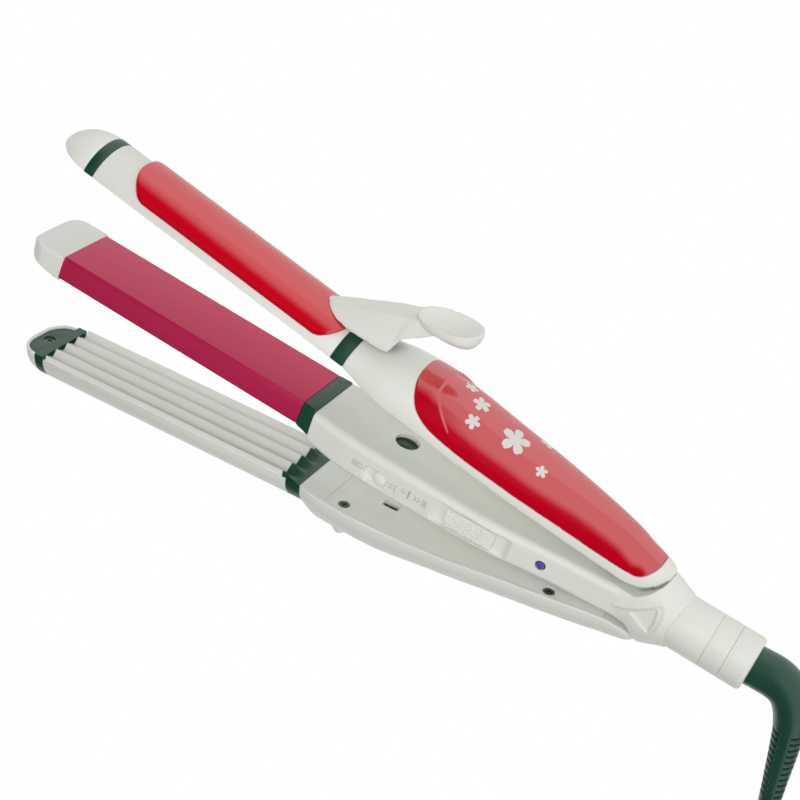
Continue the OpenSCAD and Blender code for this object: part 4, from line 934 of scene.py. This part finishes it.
turned("lamp_lens", [(6.2, 0.02), (6.2, 1.36), (lamp_face - 0.35, 1.36)]
       + dome(lamp_face - 0.35, 1.36, 0.5, range(10, 91, 10)),
       "middle_arm", ["signal_lamp"], "lamp_violet", (lamp_x, lamp_z), "y", 48)
lock_front = 14.4
turned("lock_dome", [(lock_front + 0.1, 0.02), (lock_front + 0.1, 2.6), (lock_front + 0.3, 2.62)]
       + dome(lock_front + 0.35, 2.62, 1.05, range(0, 91, 6)),
       "lock", ["lock_slider"], at=(lock_x, lock_z), axis="y", n=64, material=white_gloss)
lock_plate = shape("lock_plate", block(post_x - 8, post_x + 5.4, -6, 7.2, -6, -4.4),
                   cut=[rod("z", post_x, 0, 3.7, -7, -3), block(post_x - 6, post_x, -2.4, 2.4, -7, -3)])
join(lock_plate, block(lock_x - 1.2, lock_x + 1.2, 6.4, 14.6, lock_z - 1.1, lock_z + 1.1),
     block(lock_x - 1.2, lock_x + 1.2, 6.4, 8.4, lock_z - 1.1, -4.4),
     block(hook_x, hook_x + 1.4, 3.8, 5.4, -9, -5), block(hook_x, hook_x + 1.4, -1, 5.4, -9, -7.8),
     block(hook_x, hook_x + 1.4, -1, 0.8, -17, -7.8), block(hook_x, hook_x + 2.2, -1, 0.8, -17, -16.2))
bevelled(lock_plate, 0.1, 2, 40)
# The lock plate's light grey-green is partly its own colour and partly painted light inside the hole and
# slots
dress(lock_plate, "lock", "white_shell", (), 30, plate_green_painted_light)

# Marks printed beside the lock: padlock and the three styles

def flank(x, z, lift):
    return x, mid_b(x) + lift, z


def stroke(x0, z0, x1, z1, wide=0.34):
    """Thin printed line on the flank"""
    n = hypot(x1 - x0, z1 - z0)
    ux = (z1 - z0) / n * wide / 2
    uz = (x0 - x1) / n * wide / 2
    outline = [(x0 + ux, z0 + uz), (x1 + ux, z1 + uz), (x1 - ux, z1 - uz), (x0 - ux, z0 - uz)]
    return loft([[flank(x, z, lift) for x, z in outline] for lift in (-0.1, 0.035)])


lines = []
for x0, z0, x1, z1 in ((88.0, -7.2, 86.2, -7.2), (88.0, -8.3, 86.2, -8.3), (85.5, -6.3, 85.5, -9.5),
                       (83.4, -6.2, 81.4, -6.2), (83.4, -7.3, 81.4, -7.3),
                       (78.7, -6.0, 77.6, -7.0), (77.6, -7.0, 78.7, -8.0), (77.3, -6.0, 76.2, -7.0),
                       (76.2, -7.0, 77.3, -8.0)):
    lines.append(stroke(x0, z0, x1, z1))
lines.append(stroke(80.5, -5.4, 80.5, -8.6, 0.8))
for k in range(3):
    lines.append(stroke(75.3 - 0.62 * k, -5.6, 75.3 - 0.62 * k, -8.4, 0.36))
for k in range(4):
    lines.append(stroke(102.1 - 0.7 * k, -6.1, 102.1 - 0.7 * k, -8.5, 0.36))
shackle = [(99.6 - 1.3 * sin(a), -7.3 + 0.9 * cos(a)) for a in np.linspace(0, pi, 9)]
for start, end in zip(shackle, shackle[1:]):
    lines.append(stroke(*start, *end, 0.3))
dress(solid("printed_marks", lines), "middle_arm", "white_shell", (), 30, print_grey)

# Round foot under the crimping handle

foot_x = root_x - 19.5
foot_z = low_rim(share(foot_x)) - low_deep(share(foot_x)) + 1
foot_sizes = [(3.85, 0), (3.8, -1.1)]
foot_sizes += [(2.9 * cos(a), -1.3 - 4.2 * sin(a)) for a in np.linspace(0, 1.5, 14)]
foot = solid("rubber_foot", [loft([[(x, y, foot_z + h) for x, y in circle(foot_x, 1.2, r, 48)]
                                         for r, h in foot_sizes])])
dress(foot, "crimping_arm", "white_shell", ["low_foot"], 60, white_gloss)

# Heated half of the curling arm: barrel, rings and cap

barrel_r = 12.4
barrel_z = -0.2
barrel_base = 3.6
barrel_x0 = root_x - 2
barrel_x1 = tip_x - 1.5
soft = 0.15


def half_ring(x, r, centre, base, up=1):
    """Section at x of a round bar cut flat at the height base"""
    start = degrees(asin(abs(base - centre) / r))
    return [(x, y, centre + up * (z - centre)) for y, z in circle(0, centre, r, 72, start, 180 - start)]


def half_bar(name, x0, x1, body, slot, node, r=barrel_r, centre=barrel_z, base=barrel_base, up=1):
    """Bar of half round section with soft ends"""
    ends = ((x0, 1), (x0 + 0.3 * soft, 0.3), (x0 + soft, 0), (x1 - soft, 0), (x1 - 0.3 * soft, 0.3), (x1, 1))
    rings = [half_ring(x, r - soft * q, centre, base + up * soft * q, up) for x, q in ends]
    return dress(solid(name, [loft(rings)]), body, slot, [node], 50)


half_bar("curling_barrel", barrel_x0 + 0.1, barrel_x1 - 0.05, "curling_arm", "white_coating", "top_barrel")
half_bar("front_ring", barrel_x1 + 0.05, barrel_x1 + 3.75, "curling_arm", "dark_plastic", "top_front_ring")
half_bar("rear_ring", handle_front + 0.05, barrel_x0, "curling_arm", "dark_plastic", "top_rear_ring")
top_cap = solid("curling_tip", [loft([
    half_ring(barrel_x1 + 3.8 + 15.65 * sin(a), max(barrel_r * cos(a), 4.03), barrel_z, barrel_base)
    for a in np.radians(np.linspace(0, 71, 40))])])
mould(top_cap, 0.25, 5)
dress(top_cap, "curling_arm", "white_shell", ["top_cap"])

# Clamp: red blade, lever with its finger pad

blade_t = 1.3
blade_r = barrel_r + 0.4 + blade_t
blade_x0 = root_x - 1
blade_x1 = blade_x0 + 88
blade_half = blade_r * sin(radians(52))
blade = shape("clamp_spoon", rod("x", 0, barrel_z, blade_r, blade_x0, blade_x1, 160),
              cut=[rod("x", 0, barrel_z, blade_r - blade_t, blade_x0 - 1, blade_x1 + 1, 160)])
blade_plan = round_box(blade_x0, blade_x1, -blade_half, blade_half, 8.5, 16)
combine(blade, [prism(blade_plan, "z", 5, 20)], "INTERSECT")
mould(blade, 0.24, 5)
dress(blade, "clamp", "red_enamel", ["clamp_blade"])

# Lever: place, half width below, lower edge, top, half width of the top
lever_values = [(10.5, 0.8, 14.2, 14.9, 0.5), (9, 2.6, 13.6, 15.6, 1.2), (7, 4.4, 13.3, 16.6, 2.1),
                (4, 6.1, 13.2, 18.0, 3.3), (-1.4, 7.6, 13.4, 20.7, 4.5), (-6, 8.2, 14.2, 23.4, 5.1),
                (-11, 8.4, 14.8, 26.3, 5.4), (-15, 8.3, 15.3, 28.2, 5.6), (-16.8, 8.1, 16.0, 29.1, 5.7),
                (-17.6, 7.8, 19.5, 29.5, 5.8), (-18.6, 7.4, 22.4, 29.9, 5.9), (-20.4, 6.9, 24.2, 30.6, 5.9),
                (-23, 6.4, 26.2, 31.2, 5.8), (-27, 5.0, 29.8, 32.0, 4.5)]


def mirrored(side):
    """Closed outline from the points of one side"""
    return side + [(-y, z) for y, z in reversed(side)]


def lever_ring(q):
    """Trapezoid with slanting sides and an edge along each side of its flat top"""
    known = np.array(lever_values[::-1])
    half, base, top_z, flat = (np.interp(q, known[:, 0], known[:, k]) for k in (1, 2, 3, 4))
    rise = top_z - base
    side = [(half, base), (half, base + 0.15 * rise), (flat + 0.25, top_z - 0.12 * rise), (flat - 0.4, top_z)]
    return [(root_x + q, y, z) for y, z in mirrored(side)]


def pad_ring(u):
    """Finger pad: a thick bowl with steep sides, dished on top"""
    w = 7.9 * max(0.0, 1 - abs(u / 11.2) ** 2.3) ** 0.5 + 0.02
    dish = 2.3 * max(0.0, 1 - (u / 9.8) ** 2)
    deep = (4.9 - 0.16 * u) * max(0.0, 1 - abs(u / 11.3) ** 5) ** 0.5
    out = []
    for i in range(64):
        a = 2 * pi * i / 64
        s = sin(a)
        if s >= 0:
            out.append((u, w * cos(a), -dish * s ** 1.4))
        else:
            c = copysign(abs(cos(a)) ** 0.7, cos(a))
            out.append((u, w * c * (1 - 0.2 * abs(s)), -deep * abs(s) ** 0.4))
    return out


pad_tilt = Matrix.Translation((root_x - 28.2, 0, 34.4)) @ Matrix.Rotation(radians(15.5), 4, "Y")
lever = shape("clamp_lever_pad", swept(lever_ring, -27, 10.5, step=0.5),
              add=[moved(swept(pad_ring, -11.1, 11.1, step=0.37), pad_tilt)])
clamp_x = root_x - 13
clamp_z = 17.5
cut_out(lever, rod("x", 0, barrel_z, blade_r, root_x - 30, root_x + 20, 128),
        rod("y", clamp_x, clamp_z, 4.2, -5.2, 5.2), block(clamp_x - 8, clamp_x + 8, -5.2, 5.2, 8, clamp_z),
        rod("y", clamp_x, clamp_z, 1.5, -7.2, 7.2, 32))
mould(lever, 0.26, 6)
dress(lever, "clamp", "white_shell", ["clamp_lever"])

# Heated half of the middle arm

press_half = 12.0
press_rings = []
for x, g in ((root_x + 0.08, 0.12), (root_x + 0.2, 0), (tip_x - 0.2, 0), (tip_x - 0.05, 0.12)):
    side = [(press_half - 1.05, -1.25), (press_half + 0.15, -7.8), (press_half + 1.4 - g, -7.8),
            (press_half + 0.2 - g, -1.2), (press_half - 0.55, -0.12 - g), (press_half - 0.75, -g)]
    press_rings.append([(x, y, z) for y, z in mirrored(side)])
press = solid("pressing_plate", [loft(press_rings)])
bevelled(press, 0.22, 3, 20)
dress(press, "middle_arm", "crimson_coating", ["press_plate"], 30)

band_rings = []
for x, b1, b2, zl, zb in ((band_x0 + 0.05, press_half + 0.7, press_half + 1.6, -9.4, -11),
                          (root_x - 0.05, press_half + 0.25, press_half + 1.45, -7.8, -10.2)):
    side = [(b2 - 2.4, zb), (b2, zl), (b1, -1.2), (b1 - 0.9, 0)]
    band_rings.append([(x, y, z) for y, z in mirrored(side)])
band = solid("middle_band", [loft(band_rings)])
bevelled(band, 0.25, 3, 15)
dress(band, "middle_arm", "dark_plastic", ["mid_band"], 30)

front_x = tip_x + 15.5
cap_side = [(tip_x - 6, 0), (front_x - 3.2, 0), (front_x - 1.4, -0.35), (front_x - 0.4, -1.2),
            (front_x, -2.6), (front_x, -4.2), (front_x - 0.7, -5.8), (front_x - 2.4, -7.1),
            (tip_x + 7, -8.5), (tip_x + 3, -9.3), (tip_x - 6, -9.6)]
cap_plan = round_box(tip_x - 12, front_x, -press_half - 0.7, press_half + 0.7, 7.5, 20)
mid_cap = shape("middle_tip", prism(cap_plan, "z", -11, 0),
                keep=[prism(cap_side, "y", -15, 15), rod("z", front_x - 38, 0, 38, -12, 1, 256)])
mould(mid_cap, 0.3, 22)
cut_out(mid_cap, block(tip_x - 20, tip_x + 0.05, -20, 20, -20, 5))
dress(mid_cap, "middle_arm", "white_shell", ["mid_cap"])

# Heated half of the crimping arm

crimp_pitch = 6.1
crimp_depth = 2.8
low_half_b = 2 * crimp_pitch
crest_z = -12.2
low_base = -15.8
low_axis = -13.3
crimp_r = 12.7
cut_z = low_axis - 1.3


def wave(y):
    """Crimping waves: round valleys between narrow crests"""
    y = np.asarray(y, float)
    c = 0.5 + 0.5 * np.cos(2 * np.pi * y / crimp_pitch)
    peak = 1 - np.sqrt(np.sin(np.pi * y / crimp_pitch) ** 2 + 0.003)
    return crimp_depth * (0.9 * peak + 0.1 * c - 1)


wave_y = np.linspace(-low_half_b, low_half_b, 193)
crimp_ring = [(y, crest_z + z) for y, z in zip(wave_y, wave(wave_y))]
crimp_ring += [(low_half_b, low_base), (-low_half_b, low_base)]
crimp = solid("crimping_plate", [prism(crimp_ring, "x", root_x + 0.3, tip_x + 0.4)])
dress(crimp, "crimping_arm", "white_coating", ["low_crimp_plate"], 40)
half_bar("crimping_barrel", root_x - 1.45, tip_x + 1.45, "crimping_arm", "white_coating", "low_barrel",
         crimp_r, low_axis, cut_z, -1)


def toothed(name, x0, x1, bar, valley, rear, node, half, body_parts, drop=0.0):
    """Dark end piece: its teeth rise to the crests at the plate, and the valleys between them fall"""
    ys = np.linspace(-half, half, 241)
    ridge = 1 - np.abs(((ys / crimp_pitch + 0.5) % 1) - 0.5) * 2
    tip = crest_z + 0.02 - drop
    rings = []
    for x in np.linspace(x0, x1, 15):
        near = (x - x0) / (x1 - x0) if rear else (x1 - x) / (x1 - x0)
        z = bar + near * ((tip - bar) * ridge + (valley - bar) * (1 - ridge))
        rings.append([(x, y, h) for y, h in zip(ys, z)] + [(x, half, valley - 2.0), (x, -half, valley - 2.0)])
    obj = solid(name, [loft(rings)] + body_parts)
    return dress(obj, "crimping_arm", "dark_plastic", [node], 25)


comb_body = [loft([half_ring(x, crimp_r, low_axis, cut_z, -1) for x in (handle_front, root_x - 1.5)]),
             prism(round_box(handle_front, root_x - 5.5, -low_half_b + 0.3, low_half_b - 0.3, 0.2),
                   "z", low_base - 0.3, -14.55)]
toothed("crimping_comb", root_x - 5.6, root_x + 0.25, -14.5, -14.45, True, "low_comb", low_half_b - 0.05,
        comb_body)

# Tip of the crimping arm: white cap, dark plate with a countersunk screw hole, teeth and a dark side ring

cap_values = through([(5, 12.6), (7.5, 12.2), (9.8, 11), (11.6, 9), (12.8, 6.4), (13.4, 4)])


def tip_outline(rim):
    """Plan of the room inside the cap's rim"""
    side = [(tip_x + 3.2, 12.6 - rim), (tip_x + 5, 12.6 - rim)]
    side += [(tip_x + q - rim * 0.8 * smooth(7, 13, q), cap_values(q) - rim * (1 - 0.45 * smooth(9, 13.2, q)))
             for q in np.linspace(6, 13.2, 16)]
    return side + [(x, -y) for x, y in reversed(side)]


tip_floor = -16.4
screw_x = tip_x + 8.4
tip_plate = shape("crimping_tip_plate", prism(tip_outline(1.35), "z", tip_floor, -14.35),
                  add=[block(tip_x, tip_x + 4, -9.5, 9.5, tip_floor, -15.2)],
                  cut=[rod("z", screw_x, 0, 2.1, -16.0, 0), rod("z", screw_x, 0, 1.2, -20, 0)])
bevelled(tip_plate, 0.12, 2, 40)
dress(tip_plate, "crimping_arm", "dark_plastic", ["low_tip_plate"], 30)
ring_body = [loft([half_ring(x, crimp_r, low_axis, low_axis - 0.01, -1) for x in (tip_x + 1.5, tip_x + 5)])]
toothed("crimping_tip_ring", tip_x + 0.45, tip_x + 3.4, -15.15, -15.0, False, "low_ring", 10.9, ring_body,
        0.35)
low_cap = shape("crimping_tip", loft([half_ring(tip_x + q, cap_values(q), low_axis, -13.7, -1)
                                      for q in np.linspace(5.05, 13.4, 34)]),
                cut=[prism(tip_outline(1.2), "z", tip_floor, 0),
                     block(tip_x, tip_x + 5.01, -10.8, 10.8, tip_floor, 0)])
mould(low_cap, 0.22, 3)
dress(low_cap, "crimping_arm", "white_shell", ["low_cap"])

# Stage and light

floor_half = 4000
floor = solid("floor", [block(-floor_half, floor_half, -floor_half, floor_half, -10, -0.05)])
floor.data.transform(Matrix.Scale(0.001, 4))
floor_mat = new_material("pale_floor")
tree = floor_mat.node_tree
glow = wire(tree, "Emission", [("Color", (0.97, 1.0, 0.97, 1)), ("Strength", 0.85)])
plain = wire(tree, "Emission", [("Color", (1, 1, 1, 1)), ("Strength", 1.0)])
both = wire(tree, "MixShader", [(0, wire(tree, "LightPath").outputs["Is Camera Ray"]), (1, glow.outputs[0]),
                                (2, plain.outputs[0])])
wire(tree, "OutputMaterial", [("Surface", both.outputs[0])])
floor.data.materials.append(floor_mat)

world = bpy.data.worlds.new("studio")
bpy.context.scene.world = world
world.use_nodes = True
sky = world.node_tree
ray = wire(sky, "TexCoord").outputs["Generated"]
sideways = wire(sky, "VectorMath", [(0, ray), (1, tuple(right))], operation="DOT_PRODUCT")
wall = wire(sky, "MapRange", [("Value", sideways.outputs["Value"]), ("From Min", -0.17), ("From Max", 0.08),
                              ("To Min", 0.0), ("To Max", 0.66)], interpolation_type="SMOOTHSTEP")
seen = wire(sky, "Math", [(0, wall.outputs["Result"]), (1, wire(sky, "LightPath").outputs["Is Camera Ray"])],
            operation="MAXIMUM")
sky.links.new(seen.outputs["Value"], sky.nodes["Background"].inputs["Strength"])
sky.nodes["Background"].inputs["Color"].default_value = (0.97, 1.0, 0.98, 1)

# Soft lights from the left and from the camera's side, which leave no highlights of their own
aim = Vector((0.0, 0.0, 0.015))
for name, at, power in (("left_lamp", aim - 0.8 * right + 0.3 * down - 0.5 * forward, 2.3),
                        ("fill_lamp", aim - 0.98 * forward - 0.15 * right, 5.5)):
    data = bpy.data.lights.new(name, "AREA")
    data.shape = "RECTANGLE"
    data.size = 0.6
    data.size_y = 0.6
    data.energy = power
    light = bpy.data.objects.new(name, data)
    bpy.context.scene.collection.objects.link(light)
    light.location = at
    light.rotation_euler = (aim - at).to_track_quat("-Z", "Y").to_euler()
    light.visible_glossy = False

bpy.context.scene.view_settings.view_transform = "Standard"
